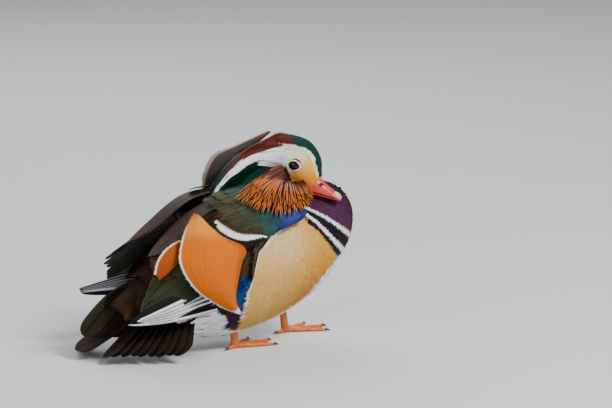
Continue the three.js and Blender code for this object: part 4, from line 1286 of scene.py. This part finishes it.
add_skin()
add_body_coat()
add_face()
for side, name, rise in ((-1, "right", 0.0), (1, "left", FAR_WING_RISE)):
    add_wing(side, name, rise)
    add_hackles(side, name)
add_crest()
add_mane()
add_sail("sail_right", "sail_outer_face",
         all_seen((197, 213, -47), (187, 236, -52), (184, 261, -56), (198, 286, -59), (221, 303, -60),
                  (240, 312, -58)),
         all_seen((201, 214, -49), (222, 234, -57), (247, 247, -62), (244, 262, -64), (240, 280, -64),
                  (238, 297, -62), (242, 312, -58)),
         (-0.25, -0.97, 0.05), 7, right_sail_tone)
add_sail("sail_small", "sail_outer_face", [(-101, -43, 31), (-117, -46, 26), (-127, -47, 16), (-130, -47, 4)],
         [(-99, -44, 27), (-105, -48, 19), (-115, -49, 9), (-127, -47, 0)],
         (-0.25, -0.97, 0.05), 2, small_sail_tone)
add_sail("sail_left", "sail_inner_face",
         [(-34, 36, 58), (-35, 31, 74), (-26, 29, 89), (-5, 28, 96), (29, 27, 107)],
         [(-8, 38, 58), (2, 33, 72), (9, 30, 84), (18, 28, 96), (32, 27, 106)],
         (0.1, -0.98, 0.1), 5, left_sail_tone)
add_tail()
for name, place, heading, lean in (("right", (-33, -18), 14, -0.10), ("left", (41, 17), 4, -0.15)):
    add_leg(name, place, heading, lean)
    add_thigh(name, place, heading, lean)

REPLACED = {
    "skin": ("torso", "neck", "head"),
    "crest_plumes": ("crest",),
    "tertials_right": ("wing_right",),
    "tertials_left": ("wing_left",),
    "bill_upper_horn": ("bill_upper",),
    "bill_lower_horn": ("bill_lower",),
    "eyeball_right": ("eye_right",),
    "eyeball_left": ("eye_left",),
    "hackles_right": ("ruff_right",),
    "hackles_left": ("ruff_left",),
    "sail_right_vane": ("sail_right",),
    "sail_small_vane": ("sail_small_right",),
    "sail_left_vane": ("sail_left",),
    "tail_feathers": ("tail",),
    "leg_and_toes_right": ("leg_right", "foot_right"),
    "leg_and_toes_left": ("leg_left", "foot_left"),
}
for piece, nodes in REPLACED.items():
    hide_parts(*nodes)


# Studio: floor, lights and the camera at the photograph's view
def add_floor():
    look = Look("pale_floor", 0.75, 0.2)
    noise = look.node("TexNoise", {"Scale": 3.0})
    look.colour(noise.outputs["Fac"], (0.60, 0.61, 0.62), (0.66, 0.66, 0.66))
    bpy.ops.mesh.primitive_plane_add(size=12, location=(0, 0, 0))
    floor = bpy.context.object
    floor.name = "floor"
    floor.data.materials.append(look.material)


def add_light(name, place, aim_height, size, power, colour):
    data = bpy.data.lights.new(name, "AREA")
    data.size, data.energy, data.color = size, power, colour
    light = bpy.data.objects.new(name, data)
    light.location = place
    light.rotation_euler = (Vector((0, 0, aim_height)) - Vector(place)).to_track_quat("-Z", "Y").to_euler()
    bpy.context.scene.collection.objects.link(light)


add_floor()
add_light("key", (0.75, -1.5, 1.8), 0.08, 0.7, 72, (1.0, 0.98, 0.95))
add_light("fill", (-1.7, -0.9, 1.0), 0.08, 1.6, 16, (0.94, 0.97, 1.0))
add_light("rim", (0.5, 1.6, 1.5), 0.1, 1.3, 22, (0.98, 0.99, 1.0))
world = bpy.data.worlds.new("studio")
world.use_nodes = True
background = world.node_tree.nodes["Background"].inputs
background["Color"].default_value = (0.86, 0.90, 0.95, 1)
background["Strength"].default_value = 0.45
bpy.context.scene.world = world

CAMERA_DISTANCE = 3.5    # metres
SENSOR_WIDTH = 36
middle_right = (PICTURE[0] / 2 - ORIGIN_PIXEL[0]) / PIXELS_PER_MM
middle_up = (ORIGIN_PIXEL[1] - PICTURE[1] / 2) / PIXELS_PER_MM
aim = (middle_right * VIEW_RIGHT + middle_up * VIEW_UP + BODY_ORIGIN) / 1000
lens = bpy.data.cameras.new("camera")
lens.sensor_width = SENSOR_WIDTH
lens.lens = SENSOR_WIDTH * CAMERA_DISTANCE / (PICTURE[0] / PIXELS_PER_MM / 1000)
camera = bpy.data.objects.new("camera", lens)
camera.location = Vector(aim + CAMERA_DISTANCE * VIEW_BACK)
camera.rotation_euler = (-Vector(VIEW_BACK)).to_track_quat("-Z", "Y").to_euler()
bpy.context.scene.collection.objects.link(camera)
bpy.context.scene.camera = camera
